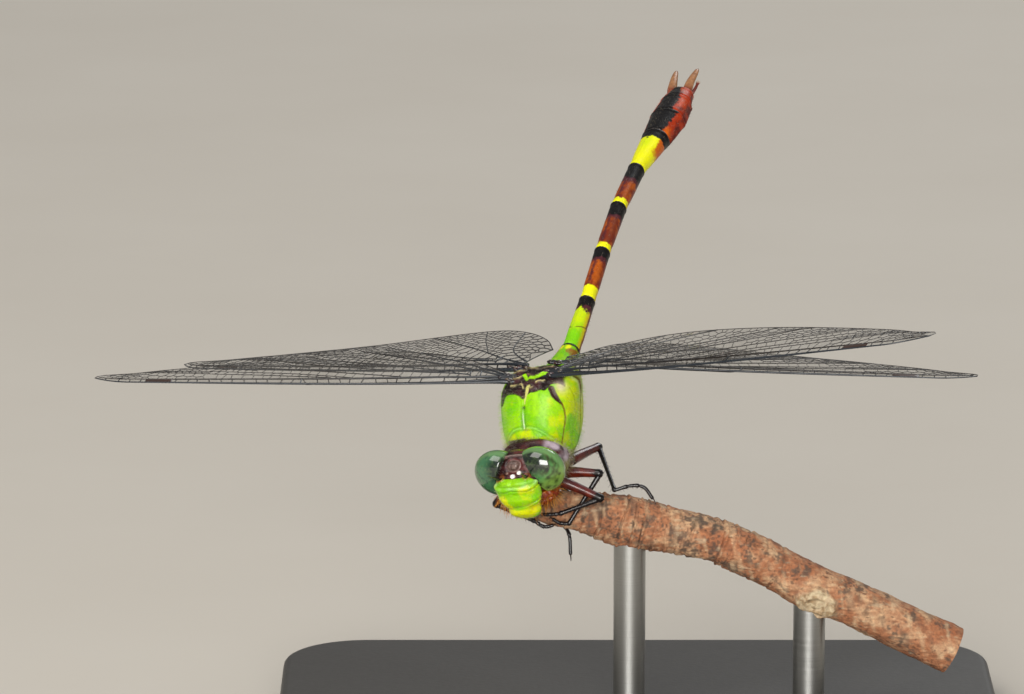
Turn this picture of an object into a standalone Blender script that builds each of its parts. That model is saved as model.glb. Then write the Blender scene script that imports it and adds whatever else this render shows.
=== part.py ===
"""A ringtail clubtail dragonfly, life size, gripping a cut twig on a display stand.

Sizes are in millimetres and MM turns them into metres. World axes: +X to the
animal's left, +Y away from its face, +Z up. The origin is the centre of the
underside of the stand's base.
"""
from math import cos, exp, pi, radians, sin

import bmesh
import bpy
from mathutils import Matrix, Vector

for old_object in list(bpy.data.objects):
    bpy.data.objects.remove(old_object, do_unlink=True)

MM = 0.001

# Driving dimensions, in millimetres and degrees.
CUT = 0.08                    # thin cut left between neighbouring pieces
LEAST_THICKNESS = 0.5         # thinnest wing, foot or feeler in the solids
THORAX_CENTRE = (-6.85, 0.0, 23.5)
BODY_YAW, BODY_PITCH, BODY_ROLL = 18.0, 27.0, 11.0
THORAX_LEAN = 0.16                  # how far its crown leans to the left, per height
THORAX_FRONT_POWER, THORAX_REAR_POWER = 1.95, 3.0  # roundness in front, boxiness behind
NECK_SHIFT = 0.22                   # how far the neck ring sits to the left
HEAD_CENTRE = (0.05, -5.28, -0.27)  # in the thorax's axes
HEAD_LIFT = 3.0
EYE_CENTRE = (1.52, -0.07, 0.12)    # in the head's axes
EYE_RADII = (1.77, 1.2, 1.72)
EYE_FLAT = (1.15, 0.25, 0.33)       # place of its inner flat, then how that flat leans
FACE_SHIFT, FACE_LEAN = 0.2, 0.035  # how far the face sits to the left, and per depth
TAIL_ROOT = (0.0, 3.6, 0.35)        # in the thorax's axes
FORE_WING_LENGTH, HIND_WING_LENGTH = 29.0, 28.2
TWIG_SIDES = 20
BASE_SIZE = (50.0, 40.0, 3.0)
BASE_CORNER = 6.0
ROD_RADIUS = 1.1
ROD_FEET = ((-0.7, -0.45), (11.7, 0.1))

# Tail rings: length, half width and half height at the front, then where each
# one points, as its rise above level and its turn to the animal's left.
TAIL_RINGS = (
    (1.2, 1.05, 1.05, 27, 22),
    (2.5, 0.95, 0.96, 29, 24),
    (4.6, 0.64, 0.66, 37, 18.5),
    (4.7, 0.54, 0.57, 35.5, 16.5),
    (4.7, 0.54, 0.57, 31, 17),
    (4.6, 0.56, 0.60, 25, 18.5),
    (4.3, 0.58, 0.63, 20.5, 21),
    (2.6, 1.02, 0.92, 22.5, 21),
    (2.1, 1.3, 1.02, 23.5, 20),
    (1.2, 1.14, 0.9, 23.5, 19),
)
TAIL_END_HALF_WIDTH, TAIL_END_HALF_HEIGHT = 0.95, 0.68
FLANGE_SPREAD = 0.16          # how much wider the club is low down than at its middle
TIP_LEAN = 0.16               # how far the pair of tips leans to the animal's right

# Chord of each wing against the share of its length out from the root.
FORE_CHORD = ((0, 1.1), (0.04, 2.0), (0.14, 4.0), (0.3, 5.7), (0.5, 6.5),
              (0.68, 6.2), (0.84, 5.0), (0.94, 3.3), (0.985, 1.8), (1, 0.7))
HIND_CHORD = ((0, 5.6), (0.035, 6.8), (0.1, 7.8), (0.2, 8.5), (0.36, 8.4), (0.55, 7.5),
              (0.72, 6.4), (0.86, 4.8), (0.945, 3.1), (0.985, 1.7), (1, 0.7))
# The left hind wing shows less of its root, which is folded under.
LEFT_HIND_CHORD = ((0, 1.8), (0.035, 3.4), (0.07, 5.4), (0.11, 7.0), (0.2, 8.3), *HIND_CHORD[4:])

# Wing poses: side and hinge in the thorax's axes, then, against the world, the turn
# away from straight sideways, the rise of the tip, how far the hind edge is tipped
# up at the root and at the tip, and how far it droops again right at the root.
WING_POSES = {
    "wing_fore_left": (1, (2.02, 0.56, 3.24), -33.0, 11.3, 18.0, -5.0, 0.0),
    "wing_fore_right": (-1, (-1.82, 0.59, 3.1), 9.0, -1.95, 20.0, -4.0, 0.0),
    "wing_hind_left": (1, (1.92, 2.64, 2.67), -8.1, -0.5, 1.7, -5.5, 0.0),
    "wing_hind_right": (-1, (-1.88, 2.37, 2.72), 30.7, -6.0, 10.5, -5.5, 10.0),
}
WING_BOW, WING_TIP_CURL = 0.45, 1.9
DROOP_REACH = 0.08            # share of the length over which the root droops

# Leg routes in world axes: hip, knee, ankle, then the foot's points to the claws.
LEG_ROUTES = {
    "leg_fore_left": ((-6.15, -2.3, 20.0), (-2.7, -3.1, 18.7), (-5.5, -2.9, 17.6),
                      (-6.2, -2.75, 17.5), (-6.75, -2.4, 17.4)),
    "leg_mid_left": ((-5.4, -1.3, 20.1), (-2.75, -1.8, 20.15), (-4.9, -2.35, 16.75),
                     (-5.5, -2.3, 16.8), (-5.95, -2.3, 17.05)),
    "leg_hind_left": ((-5.0, -0.3, 20.6), (-2.8, 3.2, 20.9), (-1.75, -0.8, 18.75),
                      (-0.65, -0.75, 19.05), (0.25, -0.75, 18.95), (0.85, -0.85, 18.2)),
    "leg_fore_right": ((-8.1, -1.7, 20.0), (-9.85, -0.6, 17.7), (-7.25, -2.1, 16.9),
                       (-6.6, -2.1, 16.5), (-6.0, -2.15, 16.6)),
    "leg_mid_right": ((-7.9, -0.2, 20.0), (-9.1, 3.0, 18.2), (-5.35, 1.2, 16.0),
                      (-4.85, 0.6, 15.3), (-4.75, 0.3, 14.0)),
    "leg_hind_right": ((-7.3, 0.9, 20.4), (-7.4, 5.2, 18.8), (-3.5, 1.55, 17.2),
                       (-2.4, 1.75, 16.75), (-1.5, 1.75, 16.7)),
}
FEMUR_RADII, TIBIA_RADII = (0.4, 0.36, 0.29), (0.27, 0.25, 0.25)

# Twig: points along its middle with the radius there, from its tip to the cut end.
TWIG_POINTS = (
    (-7.1, -0.7, 17.6, 0.95), (-6.0, -0.7, 17.5, 1.2), (-4.5, -0.6, 17.3, 1.3),
    (-2.7, -0.5, 16.9, 1.6), (-0.7, -0.4, 16.4, 1.83), (0.8, -0.4, 16.1, 1.68),
    (2.8, -0.3, 15.7, 1.56), (5.2, -0.2, 15.1, 1.5), (6.9, -0.1, 14.35, 1.58),
    (9.3, 0.0, 13.1, 1.54), (11.7, 0.1, 11.8, 1.62), (14.5, 0.2, 10.6, 1.57),
    (18.0, 0.3, 8.9, 1.62), (21.6, 0.5, 7.1, 1.68),
)


def read_curve(table, at):
    """A smooth reading of a table of (place, value...) rows, by Hermite curves."""
    last = len(table) - 1
    row = 0
    while row < last - 1 and at > table[row + 1][0]:
        row += 1
    span = table[row + 1][0] - table[row][0]
    t = min(max((at - table[row][0]) / span, 0.0), 1.0)
    values = []
    for column in range(1, len(table[0])):
        p0, p1 = table[row][column], table[row + 1][column]
        slopes = []
        for here in (row, row + 1):
            low, high = max(here - 1, 0), min(here + 1, last)
            rise = table[high][column] - table[low][column]
            slopes.append(rise / (table[high][0] - table[low][0]) * span)
        t2, t3 = t * t, t * t * t
        values.append((2 * t3 - 3 * t2 + 1) * p0 + (t3 - 2 * t2 + t) * slopes[0]
                      + (3 * t2 - 2 * t3) * p1 + (t3 - t2) * slopes[1])
    return values


def signed_power(value, power):
    return abs(value) ** power * (1 if value >= 0 else -1)


def axes(yaw, pitch, roll, origin):
    """Axes of a body piece: x to its left, y to its rear and z to its back."""
    turn, rise, lean = radians(yaw), radians(pitch), radians(roll)
    rear = Vector((sin(turn) * cos(rise), cos(turn) * cos(rise), sin(rise)))
    level_left = Vector((cos(turn), -sin(turn), 0))
    level_up = level_left.cross(rear)
    left = level_left * cos(lean) + level_up * sin(lean)
    up = level_up * cos(lean) - level_left * sin(lean)
    matrix = Matrix((left, rear, up)).transposed().to_4x4()
    matrix.translation = Vector(origin)
    return matrix


def material(name, colour, roughness, metallic=0.0):
    made = bpy.data.materials.new(name)
    made.use_nodes = True
    shader = made.node_tree.nodes["Principled BSDF"]
    shader.inputs["Base Color"].default_value = (*colour, 1.0)
    shader.inputs["Roughness"].default_value = roughness
    shader.inputs["Metallic"].default_value = metallic
    return made


def add_object(name, bm, finish, place=None):
    """Turns a bmesh in millimetres into an object in metres, placed by a matrix."""
    bmesh.ops.recalc_face_normals(bm, faces=bm.faces)
    bmesh.ops.scale(bm, vec=(MM, MM, MM), verts=bm.verts)
    mesh = bpy.data.meshes.new(name)
    bm.to_mesh(mesh)
    bm.free()
    mesh.materials.append(finish)
    mesh.shade_smooth()
    mesh.set_sharp_from_angle(angle=radians(40))
    made = bpy.data.objects.new(name, mesh)
    bpy.context.scene.collection.objects.link(made)
    if place is not None:
        matrix = place.copy()
        matrix.translation = place.translation * MM
        made.matrix_world = matrix
    return made


def loft(rings):
    """A closed skin through rings of points, with a flat end on each side."""
    bm = bmesh.new()
    rows = [[bm.verts.new(point) for point in ring] for ring in rings]
    count = len(rows[0])
    for row, after in zip(rows, rows[1:]):
        for i in range(count):
            j = (i + 1) % count
            bm.faces.new((row[i], row[j], after[j], after[i]))
    bm.faces.new(rows[0][::-1])
    bm.faces.new(rows[-1])
    return bm


def oval(centre, across, up, half_width, half_height, sides, power=2.0):
    """A ring of points round a centre: power 2 is an ellipse, above 2 is boxier."""
    ring = []
    for i in range(sides):
        angle = 2 * pi * i / sides
        x = half_width * signed_power(cos(angle), 2 / power)
        y = half_height * signed_power(sin(angle), 2 / power)
        ring.append(Vector(centre) + Vector(across) * x + Vector(up) * y)
    return ring


def tube(points, radii, sides, ends=0.6):
    """A round tube through points, its ends drawn in to blunt tips."""
    points = [Vector(point) for point in points]
    directions = []
    for i in range(len(points)):
        low, high = max(i - 1, 0), min(i + 1, len(points) - 1)
        directions.append((points[high] - points[low]).normalized())
    across = directions[0].orthogonal().normalized()
    rings = []
    for i, (point, heading, radius) in enumerate(zip(points, directions, radii)):
        across = (across - heading * across.dot(heading)).normalized()
        side = heading.cross(across)
        if i == 0:
            tip = point - heading * radius * ends
            rings.append(oval(tip, across, side, radius * ends, radius * ends, sides))
        rings.append(oval(point, across, side, radius, radius, sides))
        if i == len(points) - 1:
            tip = point + heading * radius * ends
            rings.append(oval(tip, across, side, radius * ends, radius * ends, sides))
    return loft(rings)


def cut_away(piece, neighbour):
    """Cuts a piece back from its neighbour, leaving the thin cut between them."""
    cutter = neighbour.copy()
    cutter.data = neighbour.data.copy()
    cutter.name = piece.name + "_less_" + neighbour.name
    bpy.context.scene.collection.objects.link(cutter)
    for vertex, normal in zip(cutter.data.vertices, neighbour.data.vertex_normals):
        vertex.co += normal.vector * CUT * MM
    cutter.hide_render = True
    cutter.display_type = "WIRE"
    boolean = piece.modifiers.new("clear of " + neighbour.name, "BOOLEAN")
    boolean.operation = "DIFFERENCE"
    boolean.solver = "EXACT"
    boolean.object = cutter


THORAX = axes(BODY_YAW, BODY_PITCH, BODY_ROLL, THORAX_CENTRE)
HEAD = THORAX @ Matrix.Translation(HEAD_CENTRE) @ Matrix.Rotation(radians(-HEAD_LIFT), 4, "X")

GREEN = material("lime_green_cuticle", (0.36, 0.62, 0.03), 0.35)
BROWN = material("maroon_brown_cuticle", (0.10, 0.03, 0.02), 0.3)
EYE_GREEN = material("green_eye", (0.10, 0.28, 0.14), 0.12)
RED_BROWN = material("red_brown_leg", (0.22, 0.05, 0.03), 0.28)
BLACK = material("black_leg", (0.02, 0.02, 0.02), 0.3)
TAIL_COLOURS = {
    "green": GREEN,
    "banded": material("orange_brown_tail", (0.35, 0.16, 0.03), 0.35),
    "yellow": material("yellow_tail", (0.72, 0.60, 0.03), 0.35),
    "dark": material("black_red_tail", (0.12, 0.03, 0.02), 0.3),
}
TAN = material("tan_tail_tip", (0.45, 0.33, 0.14), 0.4)
ORANGE = material("orange_mouth", (0.42, 0.14, 0.02), 0.3)
WING = material("clear_wing", (0.35, 0.36, 0.36), 0.2)
BARK = material("orange_grey_bark", (0.36, 0.20, 0.11), 0.85)
STAND = material("dark_stand", (0.03, 0.03, 0.032), 0.4)
STEEL = material("stand_rod", (0.55, 0.55, 0.55), 0.25, 1.0)


def make_thorax():
    """The skewed box that carries the wings, as level slices from crown to belly."""
    # Height of each slice, then its front, rear and half width.
    slices = (
        (3.25, -0.45, 1.4, 1.05), (2.95, -0.8, 2.3, 1.9), (2.2, -1.4, 3.3, 2.7),
        (1.2, -2.2, 3.55, 2.85), (0.3, -2.92, 3.5, 2.78), (-0.6, -2.8, 3.05, 2.76),
        (-1.5, -2.5, 2.3, 2.66), (-2.3, -2.3, 1.5, 2.4), (-2.9, -1.9, 0.7, 1.9),
        (-3.3, -1.2, 0.1, 1.1),
    )
    sides = 22
    widest_place = 0.55
    rings = []
    for height, front, rear, half_width in slices:
        ring = []
        for i in range(sides):
            angle = 2 * pi * i / sides
            along = -cos(angle)
            middle = front + (rear - front) * widest_place
            reach = middle - front if along < 0 else rear - middle
            power = THORAX_FRONT_POWER if along < 0 else THORAX_REAR_POWER
            x = half_width * signed_power(sin(angle), 2 / power)
            ring.append(Vector((x + THORAX_LEAN * height,
                                middle + reach * signed_power(along, 2 / power), height)))
        rings.append(ring)
    return add_object("synthorax", loft(rings), GREEN, THORAX)


def make_prothorax():
    """The narrow dark ring of the first body segment, between head and thorax."""
    # Place along the body, middle height, half width and half height.
    stations = ((-2.2, -1.3, 2.15, 1.5), (-2.9, -1.1, 2.35, 1.7), (-3.4, -0.95, 2.1, 1.5),
                (-3.75, -0.7, 1.4, 1.05), (-4.15, -0.5, 0.85, 0.75))
    rings = [oval((NECK_SHIFT, y, z), (1, 0, 0), (0, 0, 1), w, h, 18, 2.3)
             for y, z, w, h in stations]
    return add_object("prothorax", loft(rings), BROWN, THORAX)


def make_eye(side, name):
    """One bulging compound eye, flattened where it meets the crown of the head."""
    bm = bmesh.new()
    bmesh.ops.create_uvsphere(bm, u_segments=22, v_segments=13, radius=1.0)
    lean = Matrix.Rotation(radians(8 * -side), 4, "Y")
    grow = Matrix.Diagonal((*EYE_RADII, 1.0))
    shift = Matrix.Translation((EYE_CENTRE[0] * side, EYE_CENTRE[1], EYE_CENTRE[2]))
    bmesh.ops.transform(bm, matrix=shift @ lean @ grow, verts=bm.verts)
    # The flat runs outward towards the face and towards the mouth.
    flat_place, lean_out, lean_down = EYE_FLAT
    inner = Vector((side, lean_out, lean_down)).normalized()
    cut = bmesh.ops.bisect_plane(bm, geom=bm.verts[:] + bm.edges[:] + bm.faces[:],
                                 plane_co=(flat_place * side, 0, 0), plane_no=inner, clear_inner=True)
    rim = [item for item in cut["geom_cut"] if isinstance(item, bmesh.types.BMEdge)]
    bmesh.ops.contextual_create(bm, geom=rim)
    return add_object(name, bm, EYE_GREEN, HEAD)


def make_head(eyes):
    """The head capsule: nape, crown with its low brown bump, and cheeks."""
    # Place along the head, middle height, half width and half height.
    stations = ((1.2, -0.1, 1.2, 0.9), (0.95, -0.1, 2.2, 1.3), (0.5, -0.1, 2.3, 1.5),
                (0.0, -0.1, 2.1, 1.42), (-0.5, -0.2, 1.85, 1.3), (-0.9, -0.35, 1.65, 1.05),
                (-1.22, -0.45, 1.45, 0.85))
    rings = []
    for y, z, width, height in stations:
        ring = oval((0, y, z), (1, 0, 0), (0, 0, 1), width, height, 20, 2.4)
        for point in ring:
            if point.z > z:
                point.z += 0.22 * exp(-(point.x / 0.55) ** 2 - ((y + 0.1) / 0.5) ** 2)
        rings.append(ring)
    head = add_object("head", loft(rings), BROWN, HEAD)
    for eye in eyes:
        cut_away(head, eye)
    return head


def make_face(capsule):
    """The face below the crown: frons shelf, clypeus, upper lip and lower jaw."""
    # Each piece is a stack of level slices: height, front, back and half width.
    pieces = {
        "frons": (GREEN, ((0.42, -1.75, -1.3, 1.18), (0.3, -2.2, -1.3, 1.46),
                          (-0.02, -2.42, -1.3, 1.58), (-0.3, -2.3, -1.3, 1.6))),
        "clypeus": (GREEN, ((-0.38, -2.3, -1.3, 1.6), (-0.75, -2.42, -1.3, 1.56),
                            (-1.15, -2.4, -1.25, 1.43), (-1.5, -2.2, -1.2, 1.22))),
        "labrum": (GREEN, ((-1.58, -2.15, -1.2, 1.1), (-2.0, -2.2, -1.15, 1.08),
                           (-2.42, -2.0, -1.1, 0.86), (-2.7, -1.65, -1.15, 0.45))),
        "jaw": (ORANGE, ((-1.45, -1.1, 0.5, 1.7), (-1.68, -1.1, 0.95, 2.15),
                         (-2.1, -1.05, 1.0, 2.1), (-2.5, -1.0, 0.5, 1.4))),
    }
    for name, (finish, slices) in pieces.items():
        rings = []
        for height, front, back, half_width in slices:
            shift = 0 if name == "jaw" else FACE_SHIFT - FACE_LEAN * height
            middle = (shift, (front + back) / 2, height)
            rings.append(oval(middle, (1, 0, 0), (0, 1, 0), half_width, (back - front) / 2, 18, 2.4))
        made = add_object(name, loft(rings), finish, HEAD)
    for piece in capsule:
        cut_away(made, piece)
    return made


def make_antennae():
    # The right feeler is held closer in than the left one: how far out each point is.
    for name, spread in (("antenna_left", (1.1, 1.22, 1.4, 1.62)),
                         ("antenna_right", (-1.1, -1.06, -0.98, -0.86))):
        thick = LEAST_THICKNESS / 2
        points = [(out, y, z) for out, (y, z) in
                  zip(spread, ((-1.5, 0.68), (-2.0, 1.05), (-2.5, 1.48), (-2.95, 1.95)))]
        radii = (thick + 0.05, thick + 0.02, thick, thick)
        add_object(name, tube(points, radii, 7), BLACK, HEAD)


def make_tail(thorax):
    """Ten rings and the three tips, along a spine that bends ring by ring."""
    place = THORAX @ Vector(TAIL_ROOT)
    count = len(TAIL_RINGS)
    colours = ["green", "green", "banded", "banded", "banded", "banded", "yellow",
               "dark", "dark", "dark"]
    sides = 14
    for number, (length, width, height, rise, turn) in enumerate(TAIL_RINGS):
        if number + 1 < count:
            end_width, end_height = TAIL_RINGS[number + 1][1:3]
            next_rise, next_turn = TAIL_RINGS[number + 1][3:]
        else:
            end_width, end_height = TAIL_END_HALF_WIDTH, TAIL_END_HALF_HEIGHT
            next_rise, next_turn = rise, turn
        last_rise, last_turn = TAIL_RINGS[max(number - 1, 0)][3:]
        here = axes(turn, rise, BODY_ROLL, place)
        start_tilt = axes((turn + last_turn) / 2, (rise + last_rise) / 2, BODY_ROLL, place)
        end = here @ Vector((0, length, 0))
        end_tilt = axes((turn + next_turn) / 2, (rise + next_rise) / 2, BODY_ROLL, end)
        club = number + 1 in (8, 9)
        rings = []
        steps = 4 if length > 2 else 3
        for step in range(steps + 1):
            t = step / steps
            tilt = start_tilt.lerp(end_tilt, t)
            across, rear, up = (tilt.col[i].to_3d().normalized() for i in range(3))
            shrink = CUT / 2 * (1 if step == 0 else -1 if step == steps else 0)
            centre = place.lerp(end, t) + rear * shrink
            ring_width = width + (end_width - width) * t
            ring_height = height + (end_height - height) * t
            ring = oval(centre, across, up, ring_width, ring_height, sides, 2.2)
            for point in ring:
                drop = (centre - point).dot(up) / ring_height
                if club and drop > 0:
                    point += across * (point - centre).dot(across) * FLANGE_SPREAD * drop
            rings.append(ring)
        ring_object = add_object("tail_ring_%02d" % (number + 1), loft(rings),
                                 TAIL_COLOURS[colours[number]])
        if number == 0:
            cut_away(ring_object, thorax)
        place = end
    tip_axes = axes(turn - 1, rise + 6, BODY_ROLL, place)
    for side, name in ((1, "cercus_left"), (-1, "cercus_right")):
        points = [(x * side - TIP_LEAN, y, z) for x, y, z in
                  ((0.6, 0.36, 0.14), (0.66, 0.95, 0.22), (0.76, 1.7, 0.24), (0.8, 2.35, 0.2))]
        add_object(name, tube(points, (0.3, 0.29, 0.25, 0.2), 8), TAN, tip_axes)
    points = ((0.1, 0.36, -0.42), (0.3, 0.95, -0.72), (0.48, 2.2, -0.7))
    add_object("epiproct", tube(points, (0.27, 0.25, 0.25), 8), TAIL_COLOURS["dark"], tip_axes)


def make_wing(name, thorax):
    """A flat plate with the true outline of one wing."""
    side, hinge, turn, rise, root_edge, tip_edge, droop = WING_POSES[name]
    is_fore = "fore" in name
    length = FORE_WING_LENGTH if is_fore else HIND_WING_LENGTH
    chord_table = (FORE_CHORD if is_fore else
                   LEFT_HIND_CHORD if side > 0 else HIND_CHORD)
    out = Vector((side * cos(radians(turn)) * cos(radians(rise)),
                  sin(radians(turn)) * cos(radians(rise)), sin(radians(rise))))
    level_back = (Vector((0, 1, 0)) - out * out.y).normalized()
    level_up = out.cross(level_back) * side
    root = THORAX @ Vector(hinge)
    half = LEAST_THICKNESS / 2
    stations = 26
    rings = []
    for i in range(stations + 1):
        share = 0.5 - 0.5 * cos(pi * i / stations)
        chord = read_curve(chord_table, share)[0]
        tilt = radians(tip_edge + (root_edge - tip_edge) * (1 - share) ** 1.5
                       - droop * exp(-share / DROOP_REACH))
        back = level_back * cos(tilt) + level_up * sin(tilt)
        up = level_up * cos(tilt) - level_back * sin(tilt)
        # The front edge bows gently forward and curls back at the tip.
        curl = max(share - 0.9, 0) / 0.1
        lead = WING_TIP_CURL * curl ** 2 - WING_BOW * sin(pi * min(share, 0.9))
        centre = root + out * length * share + back * (lead + chord / 2)
        rings.append([centre - back * chord / 2 - up * half, centre + back * chord / 2 - up * half,
                      centre + back * chord / 2 + up * half, centre - back * chord / 2 + up * half])
    wing = add_object(name, loft(rings), WING)
    cut_away(wing, thorax)
    return wing


def make_leg(name, body_pieces, twig):
    """Thigh, shin and foot of one leg, each cut short at the joint."""
    route = [Vector(point) for point in LEG_ROUTES[name]]
    hip, knee, ankle = route[:3]
    thigh_line = (knee - hip).normalized()
    shin_line = (ankle - knee).normalized()
    thick = LEAST_THICKNESS / 2
    joint = 0.2
    start = hip
    end = knee - thigh_line * joint
    femur = tube((start, start.lerp(end, 0.35), end), FEMUR_RADII, 9)
    thigh = add_object(name + "_femur", femur, RED_BROWN)
    for piece in body_pieces:
        cut_away(thigh, piece)
    start = knee + shin_line * (joint + 0.22)
    end = ankle - shin_line * joint
    tibia = tube((start, start.lerp(end, 0.5), end), TIBIA_RADII, 8)
    shin = add_object(name + "_tibia", tibia, BLACK)
    cut_away(shin, thigh)
    foot_points = route[2:]
    foot_line = (foot_points[1] - foot_points[0]).normalized()
    foot_points[0] = foot_points[0] + foot_line * (joint + 0.1)
    foot_points[-1] = foot_points[-1] - (foot_points[-1] - foot_points[-2]).normalized() * 0.1
    foot = add_object(name + "_foot", tube(foot_points, [thick] * len(foot_points), 8), BLACK)
    cut_away(foot, shin)
    for piece in (shin, foot):
        cut_away(piece, twig)


def make_twig():
    """The cut twig, a bent stem with worn swellings and a flat sawn end."""
    table = [(i, *row) for i, row in enumerate(TWIG_POINTS)]
    steps_each = 2
    last = len(TWIG_POINTS) - 1
    rings = []
    for step in range(last * steps_each + 1):
        at = step / steps_each
        x, y, z, radius = read_curve(table, at)
        ahead = Vector(read_curve(table, min(at + 0.1, last))[:3])
        behind = Vector(read_curve(table, max(at - 0.1, 0))[:3])
        heading = (ahead - behind).normalized()
        across = heading.cross(Vector((0, 0, 1))).normalized()
        up = across.cross(heading)
        ring = []
        for i in range(TWIG_SIDES):
            angle = 2 * pi * i / TWIG_SIDES
            wobble = 1 + 0.018 * sin(3 * angle + 1.7 * at) + 0.014 * sin(5 * angle - 2.9 * at)
            offset = across * cos(angle) + up * sin(angle)
            ring.append(Vector((x, y, z)) + offset * radius * wobble)
        if step == 0:
            tip = Vector((x, y, z)) - heading * 0.3
            rings.append([tip + (point - Vector((x, y, z))) * 0.6 for point in ring])
        rings.append(ring)
    return add_object("perch_twig", loft(rings), BARK)


def make_stand(twig):
    """A flat rounded base and two short rods whose tops are hollowed to the twig."""
    length, depth, height = BASE_SIZE
    corner_steps = 6
    outline = []
    for quarter, (sx, sy) in enumerate(((1, 1), (-1, 1), (-1, -1), (1, -1))):
        centre_x = sx * (length / 2 - BASE_CORNER)
        centre_y = sy * (depth / 2 - BASE_CORNER)
        for step in range(corner_steps + 1):
            angle = pi / 2 * (quarter + step / corner_steps)
            outline.append((centre_x + BASE_CORNER * cos(angle), centre_y + BASE_CORNER * sin(angle)))
    bevel = 0.5
    rings = []
    for z, inset in ((0, 0), (height - bevel, 0), (height - bevel * 0.3, bevel * 0.3),
                     (height, bevel)):
        shrink_x, shrink_y = 1 - 2 * inset / length, 1 - 2 * inset / depth
        rings.append([Vector((x * shrink_x, y * shrink_y, z)) for x, y in outline])
    add_object("stand_base", loft(rings), STAND)
    table = [(row[0], row[2]) for row in TWIG_POINTS]
    for number, (x, y) in enumerate(ROD_FEET):
        top = read_curve(table, x)[0]
        rings = [oval((x, y, z), (1, 0, 0), (0, 1, 0), ROD_RADIUS, ROD_RADIUS, 20)
                 for z in (height + CUT, top)]
        rod = add_object("stand_rod_%d" % (number + 1), loft(rings), STEEL)
        cut_away(rod, twig)


thorax = make_thorax()
prothorax = make_prothorax()
eyes = [make_eye(1, "eye_left"), make_eye(-1, "eye_right")]
head = make_head(eyes)
jaw = make_face([head, *eyes])
make_antennae()
make_tail(thorax)
for wing_name in WING_POSES:
    make_wing(wing_name, thorax)
twig = make_twig()
make_stand(twig)
for leg_name in LEG_ROUTES:
    hip_pieces = [thorax, prothorax] if "fore" in leg_name else [thorax]
    make_leg(leg_name, hip_pieces, twig)
for neighbour in (thorax, head, *eyes, jaw):
    cut_away(prothorax, neighbour)
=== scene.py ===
"""The finished look of a life-size clubtail dragonfly on a cut twig and a display stand.

Lengths are in millimetres until a mesh is made, and MM turns them into metres.
World axes: +X to the animal's left, +Y away from its face, +Z up.
"""
from math import cos, pi, radians, sin

import bpy
import numpy as np
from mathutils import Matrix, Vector, geometry


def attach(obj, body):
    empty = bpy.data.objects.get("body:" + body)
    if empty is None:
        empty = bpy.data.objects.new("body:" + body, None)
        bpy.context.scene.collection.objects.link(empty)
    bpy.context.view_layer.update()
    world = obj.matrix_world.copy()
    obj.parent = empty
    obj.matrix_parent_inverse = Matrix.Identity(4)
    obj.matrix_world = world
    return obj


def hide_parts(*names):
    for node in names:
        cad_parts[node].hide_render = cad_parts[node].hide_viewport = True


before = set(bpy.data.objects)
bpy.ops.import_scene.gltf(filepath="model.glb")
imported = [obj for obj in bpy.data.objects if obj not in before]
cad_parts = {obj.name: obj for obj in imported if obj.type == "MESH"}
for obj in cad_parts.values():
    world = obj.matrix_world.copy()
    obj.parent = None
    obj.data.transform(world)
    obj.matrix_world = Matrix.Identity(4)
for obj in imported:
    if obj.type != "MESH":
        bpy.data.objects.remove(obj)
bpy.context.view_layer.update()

# ---------------------------------------------------------------- camera
# A long lens looks a little down on the animal's face from half a metre away, well
# above the floor. Colours are shown as painted, with no film curve over them.
MM = 0.001
CAMERA_PLACE = (-8.78, -488.03, 132.35)
CAMERA_DOWN = 12.0
LENS_LENGTH, SENSOR_WIDTH = 256.6, 36.0
camera_data = bpy.data.cameras.new("close_up_lens")
camera_data.sensor_width = SENSOR_WIDTH
camera_data.lens = LENS_LENGTH
camera_data.clip_start = 0.01
camera = bpy.data.objects.new("close_up_camera", camera_data)
camera.location = Vector(CAMERA_PLACE) * MM
camera.rotation_euler = (radians(90 - CAMERA_DOWN), 0, 0)
bpy.context.scene.collection.objects.link(camera)
bpy.context.scene.camera = camera
bpy.context.scene.view_settings.view_transform = "Standard"

# ---------------------------------------------------------------- floor and light
# A plain pale table top under soft studio light: a bright softbox just behind the
# lens, a large dim one high at the front left, and pale light from behind and all round.
FLOOR_SIZE = 6.0
AIR_COLOUR, AIR_STRENGTH = (1.0, 0.97, 0.93, 1.0), 0.24


def linear(colour):
    """A colour of six hex digits as the shaders' linear values; any other as it is."""
    if not isinstance(colour, str):
        return np.asarray(colour)
    parts = [int(colour[i:i + 2], 16) / 255 for i in (0, 2, 4)]
    return tuple(p / 12.92 if p <= 0.04045 else ((p + 0.055) / 1.055) ** 2.4 for p in parts)


def new_finish(name, colour, roughness, **sockets):
    """A Principled material; other socket names are given with _ for a space."""
    finish = bpy.data.materials.new(name)
    finish.use_nodes = True
    shader = finish.node_tree.nodes["Principled BSDF"]
    shader.inputs["Base Color"].default_value = (*linear(colour), 1.0)
    shader.inputs["Roughness"].default_value = roughness
    for socket, value in sockets.items():
        shader.inputs[socket.replace("_", " ")].default_value = value
    return finish


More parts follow.
